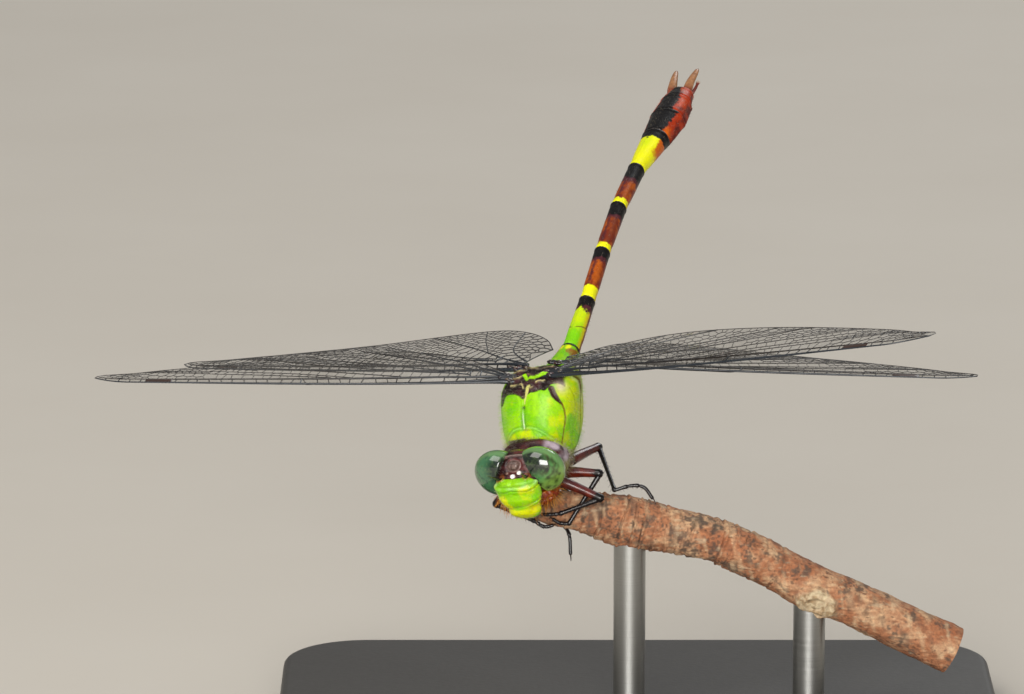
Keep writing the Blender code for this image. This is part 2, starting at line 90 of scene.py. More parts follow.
class Nodes:
    """Short ways of adding and joining shader nodes in one material."""

    def __init__(self, finish):
        self.tree = finish.node_tree
        self.shader = self.tree.nodes["Principled BSDF"]
        self.coords = self.tree.nodes.new("ShaderNodeTexCoord").outputs["Object"]

    def put(self, kind, inputs=(), **settings):
        node = self.tree.nodes.new("ShaderNode" + kind)
        for key, value in settings.items():
            setattr(node, key, value)
        for socket, value in inputs:
            if isinstance(value, bpy.types.NodeSocket):
                self.tree.links.new(value, node.inputs[socket])
            else:
                node.inputs[socket].default_value = value
        return node

    def noise(self, scale, detail=4.0, roughness=0.55, stretch=None, distortion=0.0):
        place = self.coords
        if stretch:
            place = self.put("Mapping", (("Vector", place), ("Scale", stretch))).outputs[0]
        return self.put("TexNoise", (("Vector", place), ("Scale", scale), ("Detail", detail),
                                     ("Roughness", roughness),
                                     ("Distortion", distortion))).outputs["Fac"]

    def ramp(self, value, *stops):
        node = self.put("ValToRGB", ((0, value),))
        marks = node.color_ramp.elements
        while len(marks) < len(stops):
            marks.new(1.0)
        for mark, (place, colour) in zip(marks, stops):
            mark.position = place
            mark.color = (*linear(colour), 1.0)
        return node.outputs["Color"]

    def mix(self, share, first, second, kind="MIX"):
        node = self.put("Mix", ((0, share), (6, first), (7, second)), data_type="RGBA",
                        blend_type=kind)
        return node.outputs[2]

    def join(self, value, socket):
        self.tree.links.new(value, self.shader.inputs[socket])

    def mottle(self, share, pattern, *stops):
        """Mottles the colours painted on the mesh with a pattern read through a ramp."""
        painted = self.put("Attribute", attribute_name="paint").outputs["Color"]
        self.join(self.mix(share, painted, self.ramp(pattern, *stops), "OVERLAY"), "Base Color")

    def tint(self, pattern, dark, light):
        """A plain colour that wanders between two shades with a pattern."""
        self.join(self.mix(pattern, (*linear(dark), 1), (*linear(light), 1)), "Base Color")

    def dull(self, pattern, polished, worn):
        """Roughness that wanders between a polished and a worn value with a pattern."""
        node = self.put("MapRange", ((0, pattern), (1, 0.3), (2, 0.7), (3, polished), (4, worn)))
        self.join(node.outputs[0], "Roughness")

    def bump(self, height, distance, strength=1.0):
        node = self.put("Bump", (("Height", height), ("Distance", distance),
                                 ("Strength", strength)))
        self.join(node.outputs[0], "Normal")


floor_mesh = bpy.data.meshes.new("studio_floor")
half = FLOOR_SIZE / 2
floor_mesh.from_pydata([(-half, -half, 0), (half, -half, 0), (half, half, 0), (-half, half, 0)],
                       [], [(0, 1, 2, 3)])
floor = bpy.data.objects.new("studio_floor", floor_mesh)
bpy.context.scene.collection.objects.link(floor)
floor_finish = new_finish("pale_table", "cfc8bd", 0.75)
grain = Nodes(floor_finish)
grain.tint(grain.noise(30.0), "cdc6bb", "d4cec4")
floor_mesh.materials.append(floor_finish)

world = bpy.data.worlds.new("studio_air")
bpy.context.scene.world = world
world.use_nodes = True
world.node_tree.nodes["Background"].inputs[0].default_value = AIR_COLOUR
world.node_tree.nodes["Background"].inputs[1].default_value = AIR_STRENGTH


def add_softbox(name, place, target, size, watts, colour=(1, 1, 1)):
    lamp = bpy.data.lights.new(name, "AREA")
    lamp.shape = "RECTANGLE"
    lamp.size, lamp.size_y = size
    lamp.energy = watts
    lamp.color = colour
    made = bpy.data.objects.new(name, lamp)
    made.location = Vector(place)
    heading = Vector(target) - Vector(place)
    made.rotation_euler = heading.to_track_quat("-Z", "Y").to_euler()
    bpy.context.scene.collection.objects.link(made)


AIM = (-0.005, 0.0, 0.025)
add_softbox("lens_softbox", (-0.04, -0.53, 0.13), AIM, (0.30, 0.22), 2.7, (1.0, 0.98, 0.95))
add_softbox("key_softbox", (-0.32, -0.30, 0.55), AIM, (0.45, 0.45), 2.2, (1.0, 0.97, 0.92))
add_softbox("back_softbox", (0.25, 0.50, 0.50), AIM, (0.35, 0.25), 1.5, (0.95, 0.98, 1.0))

# ---------------------------------------------------------------- stand
# The museum stand: a 3 mm steel plate with rounded corners and a broken edge,
# powder coated dark, and two turned rods screwed into it that carry the twig.
BASE_SIZE = (50.0, 40.0, 3.0)
BASE_CORNER = 6.0
ROD_RADIUS = 1.1
ROD_FEET = ((-0.7, -0.45), (11.7, 0.1))
ROD_TOPS = (16.3, 11.8)
EDGE_STEPS = ((0.0, 0.25), (0.12, 0.08), (0.3, 0.0), (2.45, 0.0), (2.7, 0.06), (2.88, 0.2),
              (2.97, 0.36), (3.0, 0.6))
COLLAR_PROFILE = ((3.0, 2.3), (3.28, 2.3), (3.42, 2.2), (3.52, 2.0), (3.75, 1.3), (3.95, 1.14),
                  (4.2, 1.1))


def wall(starts, around):
    """Quads from each ring of points to the next; starts are the rings' first points."""
    here, ahead = np.arange(around), (np.arange(around) + 1) % around
    return np.stack([starts + here, starts + ahead, starts + ahead + around,
                     starts + here + around], axis=-1).reshape(-1, 4)


def loft(rings):
    """Points and faces of a skin through rings of points, its ends closed by fans."""
    rings = np.asarray(rings, float)
    rows, around = rings.shape[:2]
    here, ahead = np.arange(around), (np.arange(around) + 1) % around
    last, middle = (rows - 1) * around, rows * around
    points = np.concatenate([rings.reshape(-1, 3), [rings[0].mean(0), rings[-1].mean(0)]])
    first_fan = np.stack([ahead, here, np.full(around, middle)], axis=-1)
    last_fan = np.stack([last + here, last + ahead, np.full(around, middle + 1)], axis=-1)
    return points, [wall((np.arange(rows - 1) * around)[:, None], around),
                    np.concatenate([first_fan, last_fan])]


class Shape:
    """Points, faces and painted colours gathered for one mesh, in millimetres."""

    def __init__(self):
        self.points, self.faces, self.paint, self.slots = [], [], [], []
        self.count = 0

    def add(self, shape, paint=None, slot=0):
        points, face_sets = shape
        self.points.append(points)
        for faces in face_sets:
            self.faces.append(faces + self.count)
            self.slots.append(np.full(len(faces), slot))
        if paint is not None:
            self.paint.append(np.broadcast_to(linear(paint), (len(points), 3)))
        self.count += len(points)

    def finish(self, name, finishes, slot, nodes=(), sharp=None, paint=None):
        """Makes the object in metres, painted, riding the model and standing for CAD nodes."""
        mesh = bpy.data.meshes.new(name)
        points = np.concatenate(self.points)
        corners = np.concatenate([faces.ravel() for faces in self.faces])
        sizes = np.concatenate([np.full(len(faces), faces.shape[1]) for faces in self.faces])
        mesh.vertices.add(len(points))
        mesh.vertices.foreach_set("co", (points * MM).ravel())
        mesh.loops.add(len(corners))
        mesh.loops.foreach_set("vertex_index", corners.astype(np.int32))
        mesh.polygons.add(len(sizes))
        starts = np.concatenate([[0], np.cumsum(sizes)[:-1]])
        mesh.polygons.foreach_set("loop_start", starts.astype(np.int32))
        mesh.polygons.foreach_set("material_index", np.concatenate(self.slots).astype(np.int32))
        mesh.update(calc_edges=True)
        paint = paint if paint is not None else (np.concatenate(self.paint) if self.paint else None)
        if paint is not None:
            layer = mesh.attributes.new("paint", "FLOAT_COLOR", "POINT")
            layer.data.foreach_set("color", np.column_stack(
                [paint, np.ones(len(points))]).astype(np.float32).ravel())
        for finish in finishes:
            mesh.materials.append(finish)
        mesh.shade_smooth()
        if sharp:
            mesh.set_sharp_from_angle(angle=radians(sharp))
        made = bpy.data.objects.new(name, mesh)
        bpy.context.scene.collection.objects.link(made)
        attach(made, "root")
        if nodes:
            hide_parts(*nodes)
        return made


coat = new_finish("dark_powder_coat", "3a3835", 0.5, Coat_Weight=0.15,
                  Coat_Roughness=0.35)
surface = Nodes(coat)
speckle = surface.noise(2600.0, 3.0)
surface.tint(speckle, "34322f", "42403d")
surface.dull(surface.noise(180.0), 0.42, 0.58)
surface.bump(speckle, 0.00003, 0.6)

length, depth, height = BASE_SIZE
outline = []
for quarter, (side_x, side_y) in enumerate(((1, 1), (-1, 1), (-1, -1), (1, -1))):
    for step in range(17):
        angle = pi / 2 * (quarter + step / 16)
        outline.append((side_x * (length / 2 - BASE_CORNER), side_y * (depth / 2 - BASE_CORNER),
                        cos(angle), sin(angle)))
plate = Shape()
plate.add(loft([[(x + (BASE_CORNER - inset) * ax, y + (BASE_CORNER - inset) * ay, z)
                 for x, y, ax, ay in outline] for z, inset in EDGE_STEPS]))
plate.finish("stand_base_plate", [coat], "stand_base", ["stand_base"], sharp=35)

steel = new_finish("turned_steel", "a9a9a6", 0.28, Metallic=1.0)
surface = Nodes(steel)
turning = surface.noise(700.0, 2.0, stretch=(0.02, 0.02, 14.0))
surface.dull(turning, 0.3, 0.42)
surface.tint(turning, "9a9a97", "b5b5b2")
surface.bump(turning, 0.000004, 0.3)
for number, ((x, y), top) in enumerate(zip(ROD_FEET, ROD_TOPS)):
    rod = Shape()
    profile = [*COLLAR_PROFILE, *((z, ROD_RADIUS) for z in np.linspace(4.4, top, 12))]
    rod.add(loft([[(x + radius * cos(2 * pi * i / 48), y + radius * sin(2 * pi * i / 48), z)
                   for i in range(48)] for z, radius in profile]))
    rod.finish("stand_rod_turned_%d" % (number + 1), [steel], "stand_rod",
               ["stand_rod_%d" % (number + 1)], sharp=50)

# ---------------------------------------------------------------- perch twig
# A weathered twig, bark on: tan-brown cork with grey and cream flecks, ringed
# with growth wrinkles near the animal, a pale bud scar halfway, and a sawn end.
TWIG_POINTS = (
    (-7.1, -0.7, 17.6, 0.95), (-6.0, -0.7, 17.5, 1.2), (-4.5, -0.6, 17.3, 1.3),
    (-2.7, -0.5, 16.9, 1.6), (-0.7, -0.4, 16.4, 1.83), (0.8, -0.4, 16.1, 1.68),
    (2.8, -0.3, 15.7, 1.56), (5.2, -0.2, 15.1, 1.5), (6.9, -0.1, 14.35, 1.58),
    (9.3, 0.0, 13.1, 1.54), (11.7, 0.1, 11.8, 1.62), (14.5, 0.2, 10.6, 1.57),
    (18.0, 0.3, 8.9, 1.62), (21.6, 0.5, 7.1, 1.68),
)
TWIG_ROWS, TWIG_SIDES = 620, 220
# Place of each growth wrinkle along the twig (in rows of the table) and its depth.
WRINKLES = ((0.9, 0.05), (1.7, 0.05), (2.35, 0.08), (2.9, 0.09), (3.3, 0.06), (3.75, 0.10),
            (4.15, 0.07), (4.6, 0.09), (5.05, 0.08), (5.5, 0.09), (5.9, 0.06), (6.3, 0.08),
            (6.75, 0.07), (7.15, 0.09), (7.6, 0.06), (8.05, 0.08), (8.5, 0.06), (9.05, 0.05),
            (11.4, 0.04))
SCAR_PLACE, SCAR_TURN, SCAR_LENGTH, SCAR_WIDTH = 10.25, -0.45, 0.5, 0.75


def read_curve(table, at):
    """Smooth readings of a table of (place, value...) rows at many places."""
    table = np.asarray(table, float)
    places, values = table[:, 0], table[:, 1:]
    at = np.clip(np.atleast_1d(np.asarray(at, float)), places[0], places[-1])
    row = np.clip(np.searchsorted(places, at) - 1, 0, len(places) - 2)
    numbers = np.arange(len(places))
    low, high = np.maximum(numbers - 1, 0), np.minimum(numbers + 1, len(places) - 1)
    slopes = (values[high] - values[low]) / (places[high] - places[low])[:, None]
    span = (places[row + 1] - places[row])[:, None]
    t = (at[:, None] - places[row][:, None]) / span
    return ((2 * t**3 - 3 * t**2 + 1) * values[row] + (t**3 - 2 * t**2 + t) * slopes[row] * span
            + (3 * t**2 - 2 * t**3) * values[row + 1] + (t**3 - t**2) * slopes[row + 1] * span)


def lumps(points, size, seed=0):
    """Smooth random heights from -1 to 1, with lumps of about one size, at many points."""
    scaled = np.asarray(points, float) / size
    cell = np.floor(scaled).astype(np.int64)
    part = scaled - cell
    fade = part * part * (3 - 2 * part)
    total = np.zeros(len(scaled))
    for corner in range(8):
        step = np.array([(corner >> axis) & 1 for axis in range(3)])
        spot = cell + step
        mixed = (spot[:, 0] * 73856093) ^ (spot[:, 1] * 19349663) ^ (spot[:, 2] * 83492791)
        mixed = (mixed ^ (seed * 2654435)) & 0xffffffff
        mixed = ((mixed ^ (mixed >> 15)) * 2246822519) & 0xffffffff
        mixed = ((mixed ^ (mixed >> 13)) * 3266489917) & 0xffffffff
        value = ((mixed ^ (mixed >> 16)) & 0xffff) / 32767.5 - 1
        total += value * np.prod(np.where(step, fade, 1 - fade), axis=1)
    return total


def hill(distance, width):
    """A soft bump of height 1 that falls away over a width."""
    return np.exp(-(distance / width) ** 2)


def blend(share, first, second):
    """Mixes two colours or sets of colours by a share from 0 to 1."""
    share = np.clip(share, 0, 1)[:, None]
    return np.asarray(linear(first)) * (1 - share) + np.asarray(linear(second)) * share


def brushed(paint, *coats):
    """Lays thin coats over a base colour, each given as its share and its colour."""
    for share, colour in coats:
        paint = blend(share, paint, colour)
    return paint


def ramp_up(value, low, high):
    """0 below one value, 1 above another, with a smooth rise between."""
    t = np.clip((value - low) / (high - low), 0, 1)
    return t * t * (3 - 2 * t)


def unit(ways):
    """One or many directions, each brought to a length of 1."""
    ways = np.asarray(ways, float)
    return ways / np.linalg.norm(ways, axis=-1, keepdims=True)


twig_table = [(i, *row) for i, row in enumerate(TWIG_POINTS)]
twig_last = len(TWIG_POINTS) - 1
at = np.linspace(0, twig_last, TWIG_ROWS)
middle = read_curve(twig_table, at)
heading = unit(read_curve(twig_table, at + 0.1)[:, :3] - read_curve(twig_table, at - 0.1)[:, :3])
across = unit(np.cross(heading, (0, 0, 1)))
above = np.cross(across, heading)
turn = 2 * pi * np.arange(TWIG_SIDES) / TWIG_SIDES
along_grid, turn_grid = np.meshgrid(at, turn, indexing="ij")
rim = (across[:, None] * np.cos(turn)[None, :, None] + above[:, None] * np.sin(turn)[None, :, None])
wobble = 1 + 0.018 * np.sin(3 * turn_grid + 1.7 * along_grid) \
    + 0.014 * np.sin(5 * turn_grid - 2.9 * along_grid)
surface = middle[:, None, :3] + rim * (middle[:, 3][:, None] * wobble)[..., None]
flat = surface.reshape(-1, 3)
length_way = np.repeat(at, TWIG_SIDES)
turn_way = np.tile(turn, TWIG_ROWS)
relief = 0.05 * lumps(flat, 0.9, 1) + 0.03 * lumps(flat, 0.4, 2) + 0.016 * lumps(flat, 0.16, 3)
relief -= 0.035 * np.abs(lumps(flat * (0.35, 1, 1), 0.22, 4))
# wrinkle_groove_shade marks the bottom of each wrinkle's groove, where painted shade is laid on the bark
wrinkle_groove_shade = np.zeros(len(flat))
for place, wrinkle_depth in WRINKLES:
    wander = 0.11 * lumps(flat, 1.3, int(place * 10)) + 0.05 * np.sin(turn_way + place * 3)
    reach = 0.4 + 0.6 * ramp_up(lumps(flat, 1.6, int(place * 7) + 3), -0.6, 0.2)
    offset = length_way - place - wander
    relief += wrinkle_depth * reach * (hill(offset - 0.05, 0.07) - 1.2 * hill(offset + 0.03, 0.035))
    wrinkle_groove_shade = np.maximum(wrinkle_groove_shade, reach * hill(offset + 0.03, 0.05))
scar_side = (turn_way - SCAR_TURN + pi) % (2 * pi) - pi
scar_radius = np.hypot((length_way - SCAR_PLACE) / SCAR_LENGTH, scar_side / SCAR_WIDTH)
scar = 1 - ramp_up(scar_radius + 0.16 * lumps(flat, 0.5, 9), 0.75, 1.1)
relief += 0.22 * scar + 0.10 * hill(scar_radius - 0.85, 0.16) - 0.10 * scar * hill(scar_radius, 0.3)
relief += 0.05 * scar * np.sin(scar_radius * 16 + 2 * lumps(flat, 0.5, 12))
end_fade = ramp_up(length_way, 0, 0.4)
flat = flat + rim.reshape(-1, 3) * (relief * (0.4 + 0.6 * end_fade))[:, None]
surface = flat.reshape(TWIG_ROWS, TWIG_SIDES, 3)
nose = []
for step, shrink in ((0.42, 0.12), (0.4, 0.35), (0.34, 0.6), (0.2, 0.84), (0.08, 0.95)):
    nose.append(middle[0, :3] - heading[0] * step + (surface[0] - middle[0, :3]) * shrink)
rows = np.concatenate([nose, surface])

BARK_COLOURS = {"orange": "a46c4a", "tan": "c29e7a", "grey": "4f443b",
                "rust": "8f4c2c", "cream": "cdb797", "dark": "2c231e"}
flat = rows.reshape(-1, 3)
length_way = np.concatenate([np.zeros(len(nose) * TWIG_SIDES), length_way])
turn_way = np.concatenate([np.tile(turn, len(nose)), turn_way])
wrinkle_groove_shade = np.concatenate([np.zeros(len(nose) * TWIG_SIDES), wrinkle_groove_shade])
scar = np.concatenate([np.zeros(len(nose) * TWIG_SIDES), scar])
cloud = lumps(flat, 1.1, 21) + 0.6 * lumps(flat, 0.45, 22)
fleck = lumps(flat, 0.3, 23) + 0.7 * lumps(flat, 0.13, 24)
fibre = lumps(flat * (0.3, 1, 1), 0.16, 27)
fold = lumps(flat * (1, 0.3, 0.25) + 0.3 * np.sin(turn_way)[:, None] * (1, 0, 0), 0.34, 28)
rust_patch = lumps(flat, 1.7, 25) + 0.5 * fleck + 0.5 * ramp_up(length_way, 9, 13)
grey_patch = lumps(flat * (0.8, 1, 1), 1.0, 26) + 0.7 * fleck
grey_patch -= 0.25 * ramp_up(length_way, 8, 10)
scar_tone = blend(ramp_up(fleck, -0.5, 0.4), "a08a68", "cdbd9c")
paint = brushed(
    blend(ramp_up(cloud + 0.5 * fibre, -0.4, 1.1), BARK_COLOURS["orange"], BARK_COLOURS["tan"]),
    (0.4 * ramp_up(rust_patch + 0.3 * fibre, 0.35, 1.0), BARK_COLOURS["rust"]),
    (0.8 * ramp_up(grey_patch + 0.3 * fibre, 0.1, 0.8), BARK_COLOURS["grey"]),
    (0.3 * ramp_up(-fibre, 0.2, 0.7), BARK_COLOURS["dark"]),
    (0.6 * ramp_up(fold + 0.2 * fleck, 0.15, 0.8), BARK_COLOURS["tan"]),
    (0.45 * ramp_up(-fold + 0.2 * fleck, 0.25, 0.9), BARK_COLOURS["grey"]),
    (0.35 * ramp_up(fibre + 0.6 * fold, 0.4, 1.0), BARK_COLOURS["cream"]),
    (0.55 * ramp_up(-fleck - 0.2 * cloud, 0.6, 1.0), BARK_COLOURS["dark"]),
    # painted shade: the bark is darkened down in each wrinkle's groove
    (0.45 * wrinkle_groove_shade * ramp_up(fleck, -0.7, 0.5), BARK_COLOURS["dark"]),
    (0.8 * scar, scar_tone))

bark = new_finish("weathered_bark", "8a5a3c", 0.85)
surface = Nodes(bark)
fine = surface.noise(5200.0, 6.0, 0.65)
surface.mottle(0.55, fine, (0.28, (0.25, 0.22, 0.2)), (0.5, (0.5,) * 3), (0.74, (0.86, 0.84, 0.8)))
surface.dull(fine, 0.72, 0.95)
surface.bump(surface.noise(7000.0, 5.0, 0.7), 0.00006, 0.8)
twig = Shape()
twig.add(loft(rows))
twig.finish("perch_twig_bark", [bark], "bark", ["perch_twig"], sharp=60,
            paint=np.concatenate([paint, paint[:1], [linear("b48f66")]]))

# ---------------------------------------------------------------- body skin
# Neck ring, thorax and the ten tail rings under one unbroken cast skin: lime with
# yellow clouds in front, banded yellow, red-brown and black behind, satin varnished.
# The suture lines, keels and ring joints are pressed into it.
THORAX_CENTRE = (-6.85, 0.0, 23.5)
BODY_YAW, BODY_PITCH, BODY_ROLL = 18.0, 27.0, 11.0
SKIN_CELL, THORAX_SIDES = 0.055, 120
MID_LINE = -0.17
TAIL_ROOT = (0.0, 3.6, 0.35)
# Height of each slice of the thorax, then its front, rear and half width.
THORAX_SLICES = (
    (-3.42, -0.9, -0.3, 0.4), (-3.3, -1.2, 0.1, 1.1), (-2.9, -1.9, 0.7, 1.9),
    (-2.3, -2.3, 1.5, 2.4), (-1.5, -2.5, 2.3, 2.66), (-0.6, -2.8, 3.05, 2.76),
    (0.3, -2.92, 3.5, 2.78), (1.2, -2.2, 3.55, 2.85), (2.2, -1.4, 3.3, 2.7),
    (2.95, -0.8, 2.3, 1.9), (3.25, -0.45, 1.4, 1.05), (3.36, 0.0, 1.0, 0.5),
)
THORAX_LEAN, NECK_SHIFT = 0.16, 0.22
# Neck ring: place along the body, middle height, half width and half height.
NECK_STATIONS = ((-2.2, -1.3, 2.15, 1.5), (-2.9, -1.1, 2.35, 1.7), (-3.4, -0.95, 2.1, 1.5),
                 (-3.75, -0.7, 1.4, 1.05), (-4.15, -0.5, 0.85, 0.75))
# Tail rings: length, half width and half height at the front, rise and turn.
TAIL_RINGS = (
    (1.2, 1.05, 1.05, 27, 22), (2.5, 0.95, 0.96, 29, 24), (4.6, 0.64, 0.66, 37, 18.5),
    (4.7, 0.54, 0.57, 35.5, 16.5), (4.7, 0.54, 0.57, 31, 17), (4.6, 0.56, 0.60, 25, 18.5),
    (4.3, 0.58, 0.63, 20.5, 21), (2.6, 1.02, 0.92, 22.5, 21), (2.1, 1.3, 1.02, 23.5, 20),
    (1.2, 1.14, 0.9, 23.5, 19),
)
TAIL_END = (0.95, 0.68)
FLANGE_SPREAD = 0.16


def axes(yaw, pitch, roll, origin):
    """Axes of a body piece: x to its left, y to its rear and z to its back."""
    turn, rise, lean = radians(yaw), radians(pitch), radians(roll)
    rear = np.array([sin(turn) * cos(rise), cos(turn) * cos(rise), sin(rise)])
    level_left = np.array([cos(turn), -sin(turn), 0])
    level_up = np.cross(level_left, rear)
    made = np.eye(4)
    made[:3, 0] = level_left * cos(lean) + level_up * sin(lean)
    made[:3, 1] = rear
    made[:3, 2] = level_up * cos(lean) - level_left * sin(lean)
    made[:3, 3] = origin
    return made


def placed(matrix, points):
    return np.asarray(points, float) @ matrix[:3, :3].T + matrix[:3, 3]


def read_place(matrix, points):
    """World points in a piece's own axes."""
    return (np.asarray(points, float) - matrix[:3, 3]) @ matrix[:3, :3]


def squared(value, power):
    return np.abs(value) ** power * np.sign(value)


def oval(centre, across, up, half_width, half_height, sides, power=2.0):
    """A ring of points round a centre: power 2 is an ellipse, above 2 is boxier."""
    angle = 2 * pi * np.arange(sides) / sides
    x = half_width * squared(np.cos(angle), 2 / power)
    y = half_height * squared(np.sin(angle), 2 / power)
    return np.asarray(centre) + np.outer(x, across) + np.outer(y, up)


def merged_skin(shapes, cell, softening):
    """One closed skin round overlapping closed shapes, as points and quads."""
    rough = bpy.data.meshes.new("rough_skin")
    points, faces, count = [], [], 0
    for shape_points, face_sets in shapes:
        points.append(shape_points)
        for face_set in face_sets:
            faces += (face_set + count).tolist()
        count += len(shape_points)
    rough.from_pydata(np.concatenate(points).tolist(), [], faces)
    made = bpy.data.objects.new("rough_skin", rough)
    bpy.context.scene.collection.objects.link(made)
    union = made.modifiers.new("union", "REMESH")
    union.mode, union.voxel_size = "VOXEL", cell
    soften = made.modifiers.new("soften", "SMOOTH")
    soften.factor, soften.iterations = 0.5, softening
    done = made.evaluated_get(bpy.context.evaluated_depsgraph_get()).to_mesh()
    skin_points = np.empty(len(done.vertices) * 3)
    done.vertices.foreach_get("co", skin_points)
    quads = np.empty(len(done.loops), dtype=np.int32)
    done.loops.foreach_get("vertex_index", quads)
    bpy.data.objects.remove(made)
    bpy.data.meshes.remove(rough)
    return skin_points.reshape(-1, 3), quads.reshape(-1, 4)


def normals_of(points, quads):
    """Outward directions at the points of a skin of quads."""
    cross = np.cross(points[quads[:, 2]] - points[quads[:, 0]],
                     points[quads[:, 3]] - points[quads[:, 1]])
    total = np.stack([sum(np.bincount(quads[:, k], cross[:, axis], len(points))
                          for k in range(4)) for axis in range(3)], axis=1)
    return total / np.maximum(np.linalg.norm(total, axis=1), 1e-12)[:, None]


def line_on_skin(points, route, steps=22):
    """Each point's distance from a smooth line laid on the skin, and its share along it."""
    table = [(i, *spot) for i, spot in enumerate(route)]
    dense = read_curve(table, np.linspace(0, len(route) - 1, steps * (len(route) - 1) + 1))
    laid = np.array([points[np.argmin(((points - spot) ** 2).sum(1))] for spot in dense])
    laid[1:-1] = (laid[:-2] + 2 * laid[1:-1] + laid[2:]) / 4
    best = np.full(len(points), 1e9)
    share = np.zeros(len(points))
    for step in range(len(laid) - 1):
        start, run = laid[step], laid[step + 1] - laid[step]
        t = np.clip((points - start) @ run / max(run @ run, 1e-12), 0, 1)
        gap = ((points - start - t[:, None] * run) ** 2).sum(1)
        closer = gap < best
        best[closer] = gap[closer]
        share[closer] = ((step + t) / (len(laid) - 1))[closer]
    return np.sqrt(best), share


def mirrored(route):
    return tuple((2 * MID_LINE - spot[0], *spot[1:]) for spot in route)


THORAX = axes(BODY_YAW, BODY_PITCH, BODY_ROLL, THORAX_CENTRE)
heights = np.concatenate([[-3.42], np.linspace(-3.36, 3.33, 90), [3.36]])
thorax_rings = []
angle = 2 * pi * np.arange(THORAX_SIDES) / THORAX_SIDES
for slice_height, (front, rear, half_width) in zip(heights, read_curve(THORAX_SLICES, heights)):
    along = -np.cos(angle)
    middle_y = front + (rear - front) * 0.55
    power = np.where(along < 0, 1.95, 3.0)
    reach = np.where(along < 0, middle_y - front, rear - middle_y)
    thorax_rings.append(np.stack([half_width * squared(np.sin(angle), 2 / power)
                                  + THORAX_LEAN * slice_height,
                                  middle_y + reach * squared(along, 2 / power),
                                  np.full(THORAX_SIDES, slice_height)], axis=1))
thorax_shape = loft([placed(THORAX, ring) for ring in thorax_rings])

places = np.linspace(-4.15, -2.2, 40)
neck_table = NECK_STATIONS[::-1]
neck_shape = loft([placed(THORAX, oval((NECK_SHIFT, y, z), (1, 0, 0), (0, 0, 1), w, h, 80, 2.3))
                   for y, (z, w, h) in zip(places, read_curve(neck_table, places))])

tail_centres, tail_frames, tail_sizes, tail_places = [], [], [], []
place = placed(THORAX, TAIL_ROOT)
for number, (ring_length, width, height, rise, turn) in enumerate(TAIL_RINGS):
    before = TAIL_RINGS[max(number - 1, 0)]
    after = TAIL_RINGS[min(number + 1, len(TAIL_RINGS) - 1)]
    end_width, end_height = after[1:3] if number < 9 else TAIL_END
    here = axes(turn, rise, BODY_ROLL, place)
    start_tilt = axes((turn + before[4]) / 2, (rise + before[3]) / 2, BODY_ROLL, place)
    end = placed(here, (0, ring_length, 0))
    end_tilt = axes((turn + after[4]) / 2, (rise + after[3]) / 2, BODY_ROLL, end)
    steps = int(ring_length / 0.05)
    for step in range(steps + (number == len(TAIL_RINGS) - 1)):
        t = step / steps
        frame_here = start_tilt[:3, :3] * (1 - t) + end_tilt[:3, :3] * t
        tail_frames.append(frame_here / np.linalg.norm(frame_here, axis=0))
        tail_centres.append(place * (1 - t) + end * t)
        tail_sizes.append((width + (end_width - width) * t, height + (end_height - height) * t))
        tail_places.append((number + 1, t, ring_length))
    place = end
tail_centres, tail_frames = np.array(tail_centres), np.array(tail_frames)
tail_sizes, tail_places = np.array(tail_sizes), np.array(tail_places)
tail_rings = []
for centre, turned, (width, height), (ring, t, _) in zip(tail_centres, tail_frames, tail_sizes,
                                                         tail_places):
    points = oval(centre, turned[:, 0], turned[:, 2], width, height, 64, 2.15)
    if ring in (8, 9):
        drop = np.clip((centre - points) @ turned[:, 2] / height, 0, None)
        points += np.outer((points - centre) @ turned[:, 0] * FLANGE_SPREAD * drop, turned[:, 0])
    tail_rings.append(points)
inward = tail_rings[0] - tail_frames[0][:, 1] * 0.9
tail_shape = loft([inward, *tail_rings,
                   tail_centres[-1] + (tail_rings[-1] - tail_centres[-1]) * 0.8
                   + tail_frames[-1][:, 1] * 0.12])

skin, skin_quads = merged_skin([thorax_shape, neck_shape, tail_shape], SKIN_CELL, 6)
outward = normals_of(skin, skin_quads)
body = read_place(THORAX, skin)
x, y, z = body.T

# Where each point of the skin lies along the tail: ring, share along it and angle
# round it from the middle of the back, positive to the animal's left.
nearest = np.zeros(len(skin), dtype=int)
best_gap = np.full(len(skin), 1e9)
for spot in range(len(tail_centres)):
    gap = ((skin - tail_centres[spot]) ** 2).sum(1)
    closer = gap < best_gap
    nearest[closer], best_gap[closer] = spot, gap[closer]
offset = skin - tail_centres[nearest]
local = np.einsum("ni,nij->nj", offset, tail_frames[nearest])
ring, ring_share, ring_length = tail_places[nearest].T
ring_share = np.clip(ring_share + local[:, 1] / ring_length, 0, 1)
on_tail = (y > 3.3) & (np.sqrt(best_gap) < 1.75) & (local[:, 1] > -0.6)
ring = np.where(on_tail, ring, 0)
tail_angle = np.arctan2(local[:, 0], local[:, 2])
tail_way = np.abs(tail_angle)

lift = np.zeros(len(skin))
mark = {}
# Sutures and ridges of the thorax, as lines on the left side and their mirror images:
# the route, how far it stands out, and its width.
HUMERAL = ((1.85, -0.25, 2.75), (2.05, -0.55, 2.43), (2.26, -0.67, 2.06), (2.46, -0.7, 1.54),
           (2.45, -0.94, 0.86), (2.23, -1.42, 0.04), (1.93, -1.67, -0.7), (1.78, -1.85, -1.4))
HIND_SUTURE = ((2.95, 1.45, 2.4), (3.03, 1.6, 2.0), (3.03, 1.6, 1.51), (2.96, 1.42, 0.96),
               (2.82, 1.15, 0.36), (2.7, 0.75, -0.3), (2.4, 0.2, -1.3), (1.9, -0.3, -2.4))
SIDE_SUTURE = ((2.35, 0.6, 2.0), (2.71, 0.1, 0.36), (2.6, -0.5, -0.3), (2.5, -0.84, -0.9),
               (2.3, -1.1, -1.7))
COLLAR = ((0.0, -2.25, 1.13), (0.62, -2.24, 0.98), (1.21, -2.26, 0.5), (1.6, -2.28, -0.02),
          (1.85, -2.2, -0.5))
